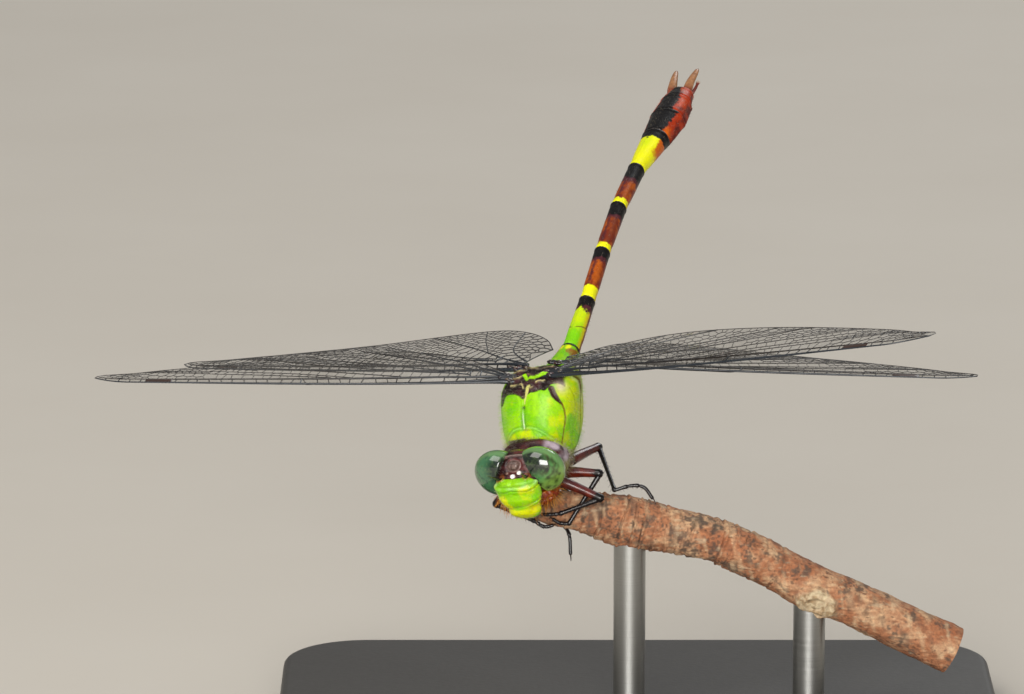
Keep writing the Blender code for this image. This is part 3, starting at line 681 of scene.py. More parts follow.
KEEL = ((-0.17, -0.9, 2.75), (-0.17, -1.53, 1.99), (-0.17, -2.0, 1.45), (-0.17, -2.24, 1.12))
near_thorax = (y < 3.9) & ~on_tail
thorax_index = np.flatnonzero(near_thorax)
thorax_points = body[thorax_index]
for name, route, rise, width in (("humeral", HUMERAL, -0.06, 0.07), ("hind", HIND_SUTURE, -0.06, 0.08),
                                 ("side", SIDE_SUTURE, -0.03, 0.06), ("collar", COLLAR, 0.07, 0.06)):
    mark[name], mark[name + "_share"] = np.full(len(skin), 9.0), np.zeros(len(skin))
    for version in (route, mirrored(route)):
        gap, share = line_on_skin(thorax_points, version)
        closer = gap < mark[name][thorax_index]
        mark[name][thorax_index[closer]] = gap[closer]
        mark[name + "_share"][thorax_index[closer]] = share[closer]
    lift += rise * hill(mark[name], width)
mark["keel"] = np.full(len(skin), 9.0)
gap, share = line_on_skin(thorax_points, KEEL)
mark["keel"][thorax_index] = gap
mark["keel_share"] = np.zeros(len(skin))
mark["keel_share"][thorax_index] = share
lift += 0.075 * hill(mark["keel"], 0.05) - 0.09 * hill(mark["keel"], 0.22)
lift -= 0.05 * hill(mark["collar"], 0.22)

# Two plump shoulder plates, and the sunk notum with its ridges above them.
from_mid = np.abs(x - MID_LINE)
climb = np.degrees(np.arctan2(z, 0.5 - y))
front_face = near_thorax & (y < 0.9)
plate_bulge = hill((from_mid - 1.1) / 1.0, 1.0) * hill((z - 1.7) / 1.0, 1.0) * front_face
lift += 0.13 * plate_bulge
edge_climb = read_curve(((0, 61), (0.4, 65), (0.9, 69.5), (1.4, 71.5), (1.75, 73), (2.1, 82),
                         (3, 88)), from_mid)[:, 0]
edge_climb -= 1.8 * np.tanh(2 * (x - MID_LINE)) + 14 * ramp_up(-x, 1.5, 2.0)
low_limit = 2.3 + 0.5 * ramp_up(y, -0.2, 0.9)
low_limit -= 1.9 * ramp_up(y, 1.1, 1.7) * ramp_up(-from_mid, -1.7, -1.4)
low_limit -= 0.9 * ramp_up(-x, 1.3, 1.8) * ramp_up(-y, -1.3, -0.7)
notum = ramp_up(climb + 1.2 * lumps(body, 0.25, 31), edge_climb - 0.8, edge_climb + 0.8) \
    * ramp_up(z, low_limit - 0.08, low_limit + 0.08) * near_thorax
NOTUM_RIDGES = (
    ((-1.33, 0.2, 3.07), (-0.8, 0.05, 3.2), (-0.31, 0.0, 3.25), (-0.06, -0.45, 3.24)),
    ((0.33, -0.5, 3.15), (0.73, -0.33, 3.12), (0.94, 0.07, 3.21), (1.38, 0.15, 3.04)),
    ((-1.6, 0.9, 3.0), (-0.9, 0.75, 3.25), (-0.2, 0.9, 3.3), (0.6, 0.8, 3.28), (1.3, 0.95, 3.05)),
    ((-1.7, 1.9, 2.8), (-0.8, 1.7, 3.0), (-0.17, 1.85, 3.05), (0.5, 1.7, 3.0), (1.4, 1.9, 2.8)),
)
ridge_gap = np.full(len(skin), 9.0)
for route in NOTUM_RIDGES:
    gap, _ = line_on_skin(thorax_points, route)
    ridge_gap[thorax_index] = np.minimum(ridge_gap[thorax_index], gap)
ridge = hill(ridge_gap, 0.06) * notum * ramp_up(lumps(body, 0.3, 36), -0.6, 0.2)
lift += notum * (-0.12 + 0.16 * hill(ridge_gap, 0.10) + 0.06 * lumps(body, 0.5, 32)
                 + 0.04 * lumps(body, 0.22, 33))
lift += 0.006 * lumps(body, 0.35, 34) * near_thorax

# Neck ring: a folded collar with shiny rolls across it.
neck_low = read_curve(((0, 0.63), (0.4, 0.55), (1.05, 0.33), (2.04, -0.21), (2.48, -0.65), (3, -1.2)),
                      from_mid)[:, 0]
neck = near_thorax & (y < -2.0)
neck_mark = ramp_up(-z, -neck_low - 0.05, -neck_low + 0.05) * neck * ramp_up(-y, 2.1, 2.3)
side_dark = ramp_up(-z - 1.18 * (y + 2.49), 0.65, 0.75) * ramp_up(-y, 1.2, 1.4) * near_thorax
neck_mark = np.maximum(neck_mark, side_dark)
neck_mark = np.maximum(neck_mark, ramp_up(-y - 0.25 * z, 2.62, 2.75) * near_thorax * ramp_up(
    -z, -0.9, -0.6))
lift += 0.05 * neck_mark * np.sin(y * 7.5 + 0.6 * np.cos(x * 1.8)) * (y < -2.4)

# Tail rings: a pressed joint before each ring, a rolled rim behind it, a fine keel.
along_mm, left_mm = ring_share * ring_length, (1 - ring_share) * ring_length
joint = np.where(ring > 1, hill(along_mm, 0.07), 0) + np.where((ring > 0) & (ring < 10),
                                                                hill(left_mm, 0.07), 0)
lift += on_tail * (-0.055 * joint + 0.03 * hill(left_mm - 0.2, 0.13) * (ring > 1)
                   - 0.03 * hill(along_mm - 0.5, 0.45) * ((ring > 2) & (ring < 8)))
lift += on_tail * (ring > 1) * 0.025 * hill(tail_angle, 0.09)
lift += on_tail * np.isin(ring, (8, 9)) * (0.05 * hill(tail_way - 2.0, 0.12)
                                            - 0.04 * hill(tail_way - 1.7, 0.2))
lift += on_tail * 0.006 * lumps(body, 0.3, 35)
skin = skin + outward * lift[:, None]

LIME, LEAF, YELLOW = "92ce00", "76c000", "d4d800"
INK, CREAM = "0d0b0d", "cfc188"
LILAC_SHEEN, RUST_RED, ORANGE = "c4b4c2", "74260f", "ad520c"
PLUM, LEMON, TAN_GREEN = "4d2028", "eeee08", "8c8a4c"
cloud = lumps(body, 1.0, 41) + 0.55 * lumps(body, 0.4, 42)
yellow_cloud = lumps(body * (1, 1, 0.8), 0.85, 43) + 0.5 * lumps(body, 0.33, 44)
yellow_cloud += 0.5 * hill(np.hypot(x - 1.25, z - 1.9), 0.4) * front_face
yellow_cloud -= 0.5 * ramp_up(-from_mid, -2.0, -1.6) * ramp_up(z, 0.4, 0.8) * front_face
yellow_cloud += 0.8 * hill(z - neck_low - 0.25, 0.3) * (y < -1.9)
yellow_cloud += 0.9 * hill(np.hypot(y + 1.7, z + 1.0), 0.75) * (from_mid > 1.4)
yellow_cloud += 0.7 * ramp_up(from_mid, 2.2, 2.55) * (mark["hind"] > 0.1)
keel_light_and_shade = ramp_up(mark["keel_share"], 0.25, 0.5) * near_thorax
suture_width = 0.045 + 0.15 * ramp_up(-mark["humeral_share"], -0.45, -0.12)
suture = ramp_up(suture_width - mark["humeral"], -0.05, 0.02) * (mark["humeral_share"] < 0.97)
wedge = ramp_up(-mark["humeral_share"], -0.5, -0.3)
notum_tone = blend(ramp_up(lumps(body, 0.5, 45), -0.2, 0.6), "1c0f12", "42262a")
paint = brushed(
    blend(ramp_up(cloud, -0.7, 0.6), LEAF, LIME),
    (0.65 * ramp_up(yellow_cloud, 0.2, 1.0), YELLOW),
    (0.55 * hill(mark["collar"], 0.06), "8fd06a"),
    (0.5 * hill(mark["collar"] - 0.12, 0.05) * (z > 0), "3f8a10"),
    # painted highlight along the crest of the keel, and painted shade in the hollow beside it
    (0.9 * hill(mark["keel"], 0.05) * keel_light_and_shade, "cfdcc0"),
    (0.6 * hill(mark["keel"] - 0.13, 0.06) * keel_light_and_shade, "3d7d12"),
    (suture * (0.85 + 0.15 * wedge), blend(wedge, "7a3a14", "30100f")),
    (0.8 * hill(mark["hind"] - 0.28, 0.14) * ramp_up(y, 0.8, 1.4), "c4d890"),
    (0.9 * hill(mark["hind"], 0.08 + 0.18 * hill(mark["hind_share"] - 0.28, 0.22)), "5a2a1c"),
    (0.35 * hill(mark["side"], 0.05), "6f6a14"),
    (notum, notum_tone),
    (0.85 * ridge, CREAM))
for route, half_width in ((((-0.5, 1.15, 3.3), (-0.25, 0.8, 3.3), (0.02, 0.42, 3.3)), 0.12),
                          (((0.15, 0.6, 3.3), (0.8, 0.62, 3.3), (1.42, 0.98, 3.2)), 0.12),
                          (((-0.5, 2.9, 2.6), (0.5, 2.9, 2.6)), 0.3)):
    gap, _ = line_on_skin(thorax_points, route)
    lime_mark = np.zeros(len(skin))
    lime_mark[thorax_index] = ramp_up(half_width - gap, -0.03, 0.03)
    paint = blend(lime_mark, paint, LIME)
cream_spot = hill(np.hypot(np.hypot(x - 2.38, y - 0.12), z - 2.6), 0.42)
spike_gap, spike_share = line_on_skin(thorax_points, ((0.3, -0.35, 3.2), (0.2, -0.75, 2.9),
                                                      (0.02, -1.2, 2.42)))
spike = np.zeros(len(skin))
spike[thorax_index] = ramp_up(0.17 * (1 - 0.75 * spike_share) - spike_gap, -0.03, 0.03)
dot = hill(np.linalg.norm(body - (-0.05, -1.38, 2.2), axis=1), 0.12)
neck_tone = blend(ramp_up(lumps(body * (0.5, 1, 1), 0.4, 47), -0.1, 0.6), "2b1416", "55282a")
# painted sheen: a pale lilac shine laid on the sides of the dark neck ring
lilac_sheen = neck_mark * ramp_up(from_mid, 1.35, 1.9) * ramp_up(z, -1.9, -1.2)
belly = ramp_up(-z - 0.35 * y, 2.1, 2.5) * near_thorax
paint = brushed(
    paint,
    (0.85 * cream_spot, "d2c4b4"),
    (0.95 * spike, "d3d07c"),
    (dot, INK),
    (neck_mark, neck_tone),
    (0.8 * lilac_sheen * ramp_up(lumps(body, 0.35, 48), -0.7, 0.3), LILAC_SHEEN),
    (0.8 * belly, TAN_GREEN))

# Paint of each tail ring. t runs along the ring, a is the angle from the back.
t, a = ring_share, tail_way
ragged = 0.05 * lumps(skin, 0.28, 51) + 0.03 * lumps(skin, 0.12, 52)
mottle = lumps(skin, 0.55, 53) + 0.5 * lumps(skin, 0.2, 54)
streak = lumps(skin, 0.35, 55)


def on_ring(numbers, share):
    return share * np.isin(ring, numbers)


amber = blend(ramp_up(mottle, -0.4, 0.6), RUST_RED, ORANGE)
third = blend(ramp_up(t + ragged, 0.2, 0.5), "7dcc06", "c2dc06")
third = blend(0.8 * ramp_up(a + 2 * ragged, 0.9, 1.4), third, "dfc20e")
third = blend(ramp_up(a + 2 * ragged, 1.45, 1.75), third, "7a3a1a")
third = blend(0.85 * hill(t - 0.36 - 0.06 * (a - 0.8), 0.012) * ramp_up(a, 0.1, 0.4), third,
              "5a3010")
paint = brushed(
    paint,
    (on_ring((2,), 0.9 * ramp_up(-np.hypot((t - 0.78) * 2.5, a - 0.38), -0.34, -0.2)), LEMON),
    (on_ring((2,), 0.9 * ramp_up(-np.hypot((t - 0.62) * 2.5, a - 1.1) + 6 * ragged, -0.75, -0.35)),
     "94500f"),
    (on_ring((1, 2), 0.7 * ramp_up(a, 2.1, 2.5)), TAN_GREEN),
    (on_ring((2,), ramp_up(t + 0.3 * ragged, 0.86, 0.89)), INK),
    (on_ring((3,), np.ones(len(skin))), third))
# Ring, end of its yellow band, start of its plum band, start of its black band.
for number, yellow_end, plum_start, black_start in ((3, 0.0, 0.66, 0.79), (4, 0.22, 0.68, 0.77),
                                                    (5, 0.09, 0.6, 0.7), (6, 0.09, 0.5, 0.62),
                                                    (7, 0.72, 0.72, 0.76)):
    if number in (4, 5, 6):
        middle_tone = brushed(
            blend(0.7 * ramp_up(-np.abs(a - 0.75) + 3 * ragged, -0.5, 0.0), amber,
                  "ac540f" if number != 5 else "72341a"),
            (0.85 * ramp_up(-a + 3 * ragged, -0.3, 0.0), PLUM),
            (0.6 * ramp_up(a, 1.9, 2.5), "6a3020"))
        band = blend(ramp_up(a, 1.2, 2.0), LEMON, "e0c020")
        paint = brushed(
            paint,
            (on_ring((number,), np.ones(len(skin))), middle_tone),
            (on_ring((number,), ramp_up(-t + 0.6 * ragged, -yellow_end - 0.01, -yellow_end + 0.01)),
             band))
    if number == 7:
        orange_side = ramp_up(a + 2 * ragged, 0.95, 1.2) * ramp_up(t + ragged, 0.3, 0.5)
        seventh = brushed(
            blend(orange_side, LEMON, "c86010"),
            (0.5 * hill(t - 0.6, 0.2) * ramp_up(-a, -0.7, -0.2), "b8e000"))
        paint = blend(on_ring((7,), np.ones(len(skin))), paint, seventh)
    plum_edge = plum_start + ragged + 0.1 * ramp_up(-a, -0.5, 0.0) * (number == 3)
    if number < 7:
        paint = blend(on_ring((number,), ramp_up(t, plum_edge, plum_edge + 0.05)), paint, PLUM)
    black_edge = black_start + 0.7 * ragged - 0.04 * hill(a, 0.4)
    paint = blend(on_ring((number,), ramp_up(t, black_edge, black_edge + 0.03)), paint, INK)
back_width = 0.82 - 0.1 * (ring - 8) + 0.3 * t * (ring == 8) - 0.25 * t * (ring == 10)
club = brushed(
    blend(ramp_up(mottle + 0.8 * hill(a - 1.1, 0.5), -0.2, 1.0), "5c140b", "a8320e"),
    (on_ring((8,), 0.9 * ramp_up(-t + 2 * ragged, -0.32, -0.1)) * hill(a - 1.2, 0.4), "d5640f"),
    (on_ring((9,), 0.6 * hill(t - 0.55, 0.3) * hill(a - 1.0, 0.35)), "c04a16"),
    (on_ring((10,), 0.8 * hill(t - 0.55, 0.25) * hill(a - 0.5, 0.3)), "b8501a"),
    (ramp_up(-a + 3 * ragged, -back_width - 0.08, -back_width + 0.08), INK),
    (0.8 * ramp_up(a + 2 * ragged, 1.95, 2.15) * np.isin(ring, (8, 9)), "1c0c0c"),
    (0.8 * ramp_up(a, 2.4, 2.6), "3c1512"))
rim_line = hill(left_mm, 0.045) * np.isin(ring, (3, 4, 5, 6, 7, 8, 9))
paint = brushed(
    paint,
    (on_ring((8, 9, 10), np.ones(len(skin))), club),
    (0.35 * rim_line * ramp_up(streak, -0.3, 0.4), "8f8478"),
    (0.75 * rim_line * (ring == 7), "b09a90"))
body_paint = paint

cuticle = new_finish("varnished_cuticle", LIME, 0.4, Specular_IOR_Level=0.2,
                     Coat_Weight=0.1, Coat_Roughness=0.16)
PORES = ((0.3, (0.36, 0.36, 0.34)), (0.7, (0.66, 0.66, 0.62)))
surface = Nodes(cuticle)
surface.mottle(0.35, surface.noise(5200.0, 4.0, 0.6), *PORES)
surface.dull(surface.noise(1500.0), 0.32, 0.5)
surface.bump(surface.noise(4200.0, 5.0, 0.65), 0.00005, 0.55)
skin_shape = Shape()
skin_shape.add((skin, [skin_quads]))
skin_shape.finish("body_skin", [cuticle], "green_cuticle",
                  ["prothorax", "synthorax", *("tail_ring_%02d" % n for n in range(1, 11))],
                  paint=body_paint)

# ---------------------------------------------------------------- head skin
# Head capsule, crown, face plates and jaw under one cast skin: lime face with yellow
# clouds, maroon lacquered crown with a round brown boss, orange-brown mouth sides.
HEAD_CENTRE = (0.05, -5.28, -0.27)
HEAD_LIFT = 3.0
HEAD_CELL = 0.045
# Head capsule from front to back: place, middle height, half width and half height.
CAPSULE_STATIONS = ((-1.22, -0.45, 1.45, 0.85), (-0.9, -0.35, 1.65, 1.05),
                    (-0.5, -0.2, 1.85, 1.3), (0.0, -0.1, 2.1, 1.42), (0.5, -0.1, 2.3, 1.5),
                    (0.95, -0.1, 2.2, 1.3), (1.2, -0.1, 1.2, 0.9))
# Face and jaw slices: height, front, back and half width.
FACE_SLICES = ((-2.74, -1.55, -1.15, 0.32), (-2.66, -1.72, -1.1, 0.56), (-2.42, -2.0, -1.1, 0.88),
               (-2.0, -2.2, -1.1, 1.11), (-1.55, -2.2, -1.0, 1.2), (-1.15, -2.36, -1.0, 1.43),
               (-0.75, -2.42, -0.9, 1.56), (-0.3, -2.34, -0.8, 1.6), (0.0, -2.4, -0.8, 1.58),
               (0.26, -2.22, -0.8, 1.46), (0.4, -1.85, -0.9, 1.24), (0.45, -1.6, -1.0, 1.0))
FACE_SHIFT, FACE_LEAN = 0.2, 0.035
JAW_SLICES = ((-2.5, -1.0, 0.5, 1.4), (-2.1, -1.05, 1.0, 2.1), (-1.68, -1.1, 0.95, 2.15),
              (-1.3, -1.1, 0.6, 1.75))


def tipped(degrees):
    made = np.eye(4)
    c, s = cos(radians(degrees)), sin(radians(degrees))
    made[1:3, 1:3] = ((c, -s), (s, c))
    return made


def level_slices(table, power, steps, sides, shift=0.0, shift_down=0.0):
    """A stack of level rounded slices with its front towards -y."""
    heights = np.linspace(table[0][0], table[-1][0], steps)
    return [oval((shift - shift_down * height, (front + back) / 2, height), (1, 0, 0), (0, 1, 0), width,
                 (back - front) / 2, sides, power)
            for height, (front, back, width) in zip(heights, read_curve(table, heights))]


head_shift = np.eye(4)
head_shift[:3, 3] = HEAD_CENTRE
HEAD = THORAX @ head_shift @ tipped(-HEAD_LIFT)
places = np.linspace(-1.22, 1.2, 50)
capsule = [oval((0, y, z), (1, 0, 0), (0, 0, 1), w, h, 90, 2.4)
           for y, (z, w, h) in zip(places, read_curve(CAPSULE_STATIONS, places))]
head, head_quads = merged_skin([loft(capsule), loft(level_slices(
    FACE_SLICES, 2.4, 70, 96, FACE_SHIFT, FACE_LEAN)), loft(level_slices(JAW_SLICES, 2.4, 26, 80))],
    HEAD_CELL, 6)
outward = normals_of(head, head_quads)
x, y, z = head.T
out = np.abs(x)
face = ramp_up(-y, 1.32, 1.5)
crown = ramp_up(z, -0.1, 0.3) * (1 - face)
lift = np.zeros(len(head))
# Face grooves, from the shelf of the frons down to the lip, and their faint wrinkles.
FRONS_FOLD, CLYPEUS_LINE, LIP_LINE, LIP_SLOPE = -0.06, -0.62, -1.42, 0.2
wave = 0.06 * np.cos(3.1 * x) + 0.04 * lumps(head, 0.6, 61)
lip = z - LIP_LINE - LIP_SLOPE * x
lift += face * (0.07 * hill(z - 0.16 - wave, 0.12) - 0.07 * hill(z - FRONS_FOLD - wave, 0.06)
                - 0.06 * hill(z - 0.34, 0.06)
                - 0.02 * hill(z - CLYPEUS_LINE + wave, 0.12)
                - 0.12 * hill(lip, 0.06)
                + 0.11 * hill(lip + 0.42, 0.36) * ramp_up(-out, -1.1, -0.7)
                - 0.05 * hill(x + 0.05, 0.16) * ramp_up(z, -0.35, 0.0)
                - 0.04 * hill(x, 0.07) * ramp_up(-z, 1.75, 2.0))
lift += face * (0.045 * lumps(head, 0.7, 63) + 0.016 * lumps(head, 0.28, 64))
# Crown: the brown boss, the ridge before it and the hollows round the eye stalks.
BOSS = (-0.04, -0.65, 1.02)
boss_reach = np.linalg.norm((head - BOSS) * (0.85, 1, 1), axis=1)
lift += crown * (0.17 * (1 - ramp_up(boss_reach, 0.2, 0.4)) - 0.06 * hill(boss_reach - 0.46, 0.08)
                 + 0.02 * hill(boss_reach - 0.3, 0.05))
lift += crown * (0.14 * hill(y + 1.12, 0.14) * hill(out - 0.3, 0.45) + 0.03 * lumps(head, 0.3, 65))
lift += 0.12 * hill(y - 0.02, 0.1) * ramp_up(z, 0.7, 1.0) * (1 + 0.4 * lumps(head, 0.3, 66))
socket_reach = np.hypot(out - 0.98, y + 1.3)
lift += ramp_up(z, -0.1, 0.2) * (0.10 * hill(socket_reach - 0.24, 0.07)
                                 - 0.14 * hill(socket_reach, 0.14))
jaw_zone = ramp_up(-z, 1.25, 1.5) * ramp_up(y, -1.25, -1.05)
lift += jaw_zone * (0.05 * lumps(head, 0.5, 67) - 0.07 * hill(z + 1.9, 0.05)
                    - 0.06 * hill(y + 0.35 - 0.2 * z, 0.07))
head = head + outward * lift[:, None]

cloud = lumps(head, 0.9, 71) + 0.5 * lumps(head, 0.35, 72)
yellow_cloud = 1.1 * lumps(head * (0.8, 1, 1.2), 0.8, 73) + 0.4 * lumps(head, 0.3, 74)
yellow_cloud += 0.8 * hill(np.hypot(x - 0.9, z + 0.85), 0.7) + 0.7 * hill(
    np.hypot(x + 0.7, (z + 1.2) * 1.5), 0.6) + 0.7 * ramp_up(-lip, 0.0, 0.4) + 0.25
paint = brushed(
    blend(ramp_up(cloud, -0.7, 0.5), LEAF, LIME),
    (0.85 * ramp_up(yellow_cloud, 0.0, 0.8), "dcdc00"),
    (0.35 * hill(np.hypot(x - 1.0, z + 1.45), 0.35), "d98a10"),
    # painted highlight: a pale band along the rolled shelf of the frons
    (0.6 * face * hill(z - 0.24, 0.09) * ramp_up(lumps(head, 0.5, 75), -0.6, 0.4), "c8ecac"))
# painted shade: the fold below the frons and the groove above the lip are darkened
for groove, depth in ((z - FRONS_FOLD - wave, 0.3), (lip, 0.4)):
    paint = blend(depth * face * hill(groove, 0.045), paint, "5a7208")
crown_tone = blend(ramp_up(lumps(head, 0.35, 76), -0.2, 0.5), "2a0f12", "5b2b2a")
crown_edge = -1.42 - 0.03 * np.cos(3 * x) - 0.07 * ramp_up(out, 1.0, 1.35)
rear = ramp_up(y, crown_edge - 0.035, crown_edge + 0.035)
mouth_tone = blend(ramp_up(lumps(head, 0.4, 78), -0.3, 0.6), "7a2c0c", "c8760f")
boss_tone = blend(ramp_up(lumps(head, 0.12, 79), -0.5, 0.5), "4e3a35", "75605a")
paint = brushed(
    paint,
    # painted highlight: a near-white gloss spot at the outer edge of the face, on the animal's right
    # only
    (0.5 * face * hill(np.hypot(x + 1.55, (z + 0.15) * 0.6), 0.14), "eef2e0"),
    (0.7 * ramp_up(-z, 2.5, 2.65), "7d6a14"),
    (rear, crown_tone),
    (rear * ramp_up(-z, 1.0, 1.3), mouth_tone),
    (rear * ramp_up(-z, 2.35, 2.5), "4a2412"),
    (crown * (1 - ramp_up(boss_reach, 0.34, 0.4)), boss_tone),
    (0.5 * crown * hill(boss_reach - 0.42, 0.04), "a08c84"),
    (0.9 * ramp_up(z, -0.1, 0.2) * hill(socket_reach - 0.24, 0.1), "8a5028"),
    (ramp_up(z, -0.1, 0.2) * hill(socket_reach, 0.16), "2a1210"),
    (0.5 * hill(y - 0.02, 0.08) * ramp_up(z, 0.7, 1.0), "a58f8a"))
head_paint = paint

lacquer = new_finish("lacquered_cuticle", LIME, 0.3, Specular_IOR_Level=0.35,
                     Coat_Weight=0.25, Coat_Roughness=0.1)
surface = Nodes(lacquer)
surface.mottle(0.3, surface.noise(6000.0, 4.0, 0.6), *PORES)
surface.dull(surface.noise(1800.0), 0.22, 0.4)
surface.bump(surface.noise(5200.0, 5.0, 0.65), 0.00004, 0.5)
head_shape = Shape()
head_shape.add((placed(HEAD, head), [head_quads]))
head_shape.finish("head_skin", [lacquer], "brown_cuticle",
                  ["head", "frons", "clypeus", "labrum", "jaw"], paint=head_paint)

# ---------------------------------------------------------------- eyes
# Two polished glass-like compound eyes set over the temples, flat on the inner side.
# A deep teal-black zone faces forward, with olive rings and specks in clear green.
EYE_CENTRE = (1.52, -0.07, 0.12)
EYE_RADII = (1.77, 1.2, 1.72)
EYE_LEAN = 8.0
# The flat on an eye's inner side: its place, then how far it leans back and up.
EYE_FLAT = (1.15, 0.25, 0.33)
# Dark specks of the left eye, as directions from its centre, with their reach.
LEFT_SPECKS = (((0.75, -0.39, 0.53), 0.11), ((0.79, -0.61, 0.0), 0.13), ((0.51, -0.84, -0.1), 0.11),
               ((0.67, -0.62, -0.38), 0.12), ((0.27, -0.78, -0.55), 0.12), ((0.9, -0.35, 0.25), 0.08),
               ((0.35, -0.9, 0.15), 0.09), ((0.45, -0.6, -0.65), 0.09), ((0.86, -0.45, -0.2), 0.08),
               ((0.1, -0.93, -0.3), 0.08), ((0.75, -0.62, 0.2), 0.08))


eye_glass = new_finish("polished_eye", "4f7a4c", 0.16, Specular_IOR_Level=0.3,
                       Coat_Weight=1.0, Coat_IOR=1.6, Coat_Roughness=0.04)
surface = Nodes(eye_glass)
facets = surface.put("TexVoronoi", (("Vector", surface.coords), ("Scale", 16000.0),
                                    ("Randomness", 0.35))).outputs["Distance"]
surface.mottle(0.22, facets, (0.1, (0.62, 0.62, 0.6)), (0.7, (0.38,) * 3))
surface.dull(surface.noise(900.0), 0.13, 0.22)
surface.bump(facets, 0.000004, 0.3)

for side, name in ((1, "eye_left"), (-1, "eye_right")):
    rows, around = 150, 220
    up_angle = pi * (np.arange(1, rows) / rows)
    turn_angle = 2 * pi * np.arange(around) / around
    ball = np.stack([np.outer(np.sin(up_angle), np.cos(turn_angle)),
                     np.outer(np.sin(up_angle), np.sin(turn_angle)),
                     -np.outer(np.cos(up_angle), np.ones(around))], axis=-1)
    ball_points, ball_faces = loft(ball)
    ball_points[-2:] = ((0, 0, -1), (0, 0, 1))
    lean = radians(EYE_LEAN * -side)
    leaned = np.array([[cos(lean), 0, sin(lean)], [0, 1, 0], [-sin(lean), 0, cos(lean)]])
    eye = (ball_points * EYE_RADII) @ leaned.T + (EYE_CENTRE[0] * side, *EYE_CENTRE[1:])
    # Points past the inner flat are laid back onto it, with a softly rounded edge.
    flat_place, lean_back, lean_up = EYE_FLAT
    inner = unit((side, lean_back, lean_up))
    past = (eye - (flat_place * side, 0, 0)) @ inner
    rounded = np.where(past < 0.12, 0.12 - 0.12 * (1 - np.exp(np.minimum(past - 0.12, 0) / 0.12)),
                       past)
    eye = eye + np.outer(rounded - past, inner)
    q = ball_points * (side, 1, 1)
    qx, qy, qz = q.T
    spot_noise = lumps(eye, 0.35, 81)
    fine_noise = lumps(eye, 0.14, 82)
    if side > 0:
        zone = np.arccos(np.clip(q @ unit((0.12, -0.7, 0.7)), -1, 1))
        zone_stretch = zone + 0.22 * (q @ unit((0.8, 0.1, -0.6))) + 0.05 * spot_noise
        tone = brushed(
            blend(ramp_up(zone_stretch, 0.3, 0.9), "121e16", "4e8648"),
            (0.7 * ramp_up(-qz + 0.3 * qx, 0.0, 0.5), "86a440"))
        for arc, arc_width, arc_depth in ((0.66, 0.08, 0.9), (0.9, 0.07, 0.7), (1.12, 0.06, 0.45)):
            tone = blend(arc_depth * hill(zone + 0.06 * spot_noise - arc, arc_width)
                         * ramp_up(qx - 0.2 * qz, 0.25, 0.55), tone, "38361a")
        for spot, reach in LEFT_SPECKS:
            gap = np.arccos(np.clip(q @ unit(spot), -1, 1)) + 0.05 * fine_noise
            tone = blend(0.85 * hill(gap, 1.1 * reach), tone, "2a3416")
        pupil = np.arccos(np.clip(q @ unit((0.55, -0.74, 0.36)), -1, 1))
        tone = blend(0.95 * (1 - ramp_up(pupil + 0.04 * fine_noise, 0.12, 0.26)), tone,
                     "050807")
    else:
        zone = np.arccos(np.clip(q @ unit((-0.35, -0.75, 0.5)), -1, 1)) + 0.05 * spot_noise
        specks = ramp_up(lumps(eye, 0.16, 83) + 0.3 * spot_noise, 0.25, 0.6)
        tone = brushed(
            blend(ramp_up(zone, 0.35, 0.95), "12211a", "3a6c48"),
            (0.5 * ramp_up(zone, 1.0, 1.5), "4c7040"),
            (0.6 * specks * ramp_up(zone, 0.6, 0.9), "17362a"))
    tone = brushed(
        tone,
        (0.5 * ramp_up(np.hypot(qx, qz), 0.94, 1.0), "7fa86a"),
        (0.12 * ramp_up(fine_noise, -0.2, 0.9), "86a45e"),
        (ramp_up(qy, 0.35, 0.6), "2b3a22"))
    ball = Shape()
    ball.add((placed(HEAD, eye), ball_faces))
    ball.finish(name + "_polished", [eye_glass], "eye", [name], paint=tone)

# ---------------------------------------------------------------- ocelli and feelers
# Three small glass beads on the crown, and two short dark feelers of three joints
# with hair-thin ends, each in a rounded orange-brown collar.
# The first two beads are painted near white as painted glints; the third keeps the beads' own dark
# brown.
OCELLI = (((-0.06, -1.2, 0.46), 0.21, "f4f2ec"), ((0.4, -1.02, 0.6), 0.19, "f4f2ec"),
          ((-0.49, -0.98, 0.6), 0.15, "6b4a3e"))
# Feeler joints: how far out on the left and on the right, then place and height.
FEELER = ((0.98, -0.98, -1.3, 0.34), (1.04, -1.03, -1.55, 0.62), (1.1, -1.07, -1.72, 0.82),
          (1.22, -1.06, -2.0, 1.08), (1.4, -0.98, -2.5, 1.5), (1.6, -0.87, -2.95, 1.93))
FEELER_RADII = (0.13, 0.1, 0.085, 0.05, 0.035, 0.02)


def tube(points, radii, sides, flatten=1.0):
    """A round tube through points, its ends drawn in to blunt tips."""
    points, radii = np.asarray(points, float), np.asarray(radii, float)
    ahead = np.vstack([points[1:], points[-1:]])
    behind = np.vstack([points[:1], points[:-1]])
    headings = unit(ahead - behind)
    across = np.cross(headings[0], (0.31, 0.52, 0.8))
    rings = []
    for point, heading, radius in zip(points, headings, radii):
        across = unit(across - heading * (across @ heading))
        circle = oval((0, 0, 0), across, np.cross(heading, across), 1.0, flatten, sides)
        rings.append((point, heading * radius, circle * radius))
    blunt = ((-0.6, 0.35), (-0.45, 0.75)), ((0.45, 0.75), (0.6, 0.35))
    capped = [*((0, *end) for end in blunt[0]), *((i, 0, 1) for i in range(len(rings))),
              *((-1, *end) for end in blunt[1])]
    return loft([rings[i][0] + rings[i][1] * step + rings[i][2] * share
                 for i, step, share in capped])


def smooth_route(points, radii, steps):
    """A tube's points and radii read more finely along a smooth line."""
    table = [(i, *point, radius) for i, (point, radius) in enumerate(zip(points, radii))]
    dense = read_curve(table, np.linspace(0, len(table) - 1, steps))
    return dense[:, :3], np.maximum(dense[:, 3], 0.004)


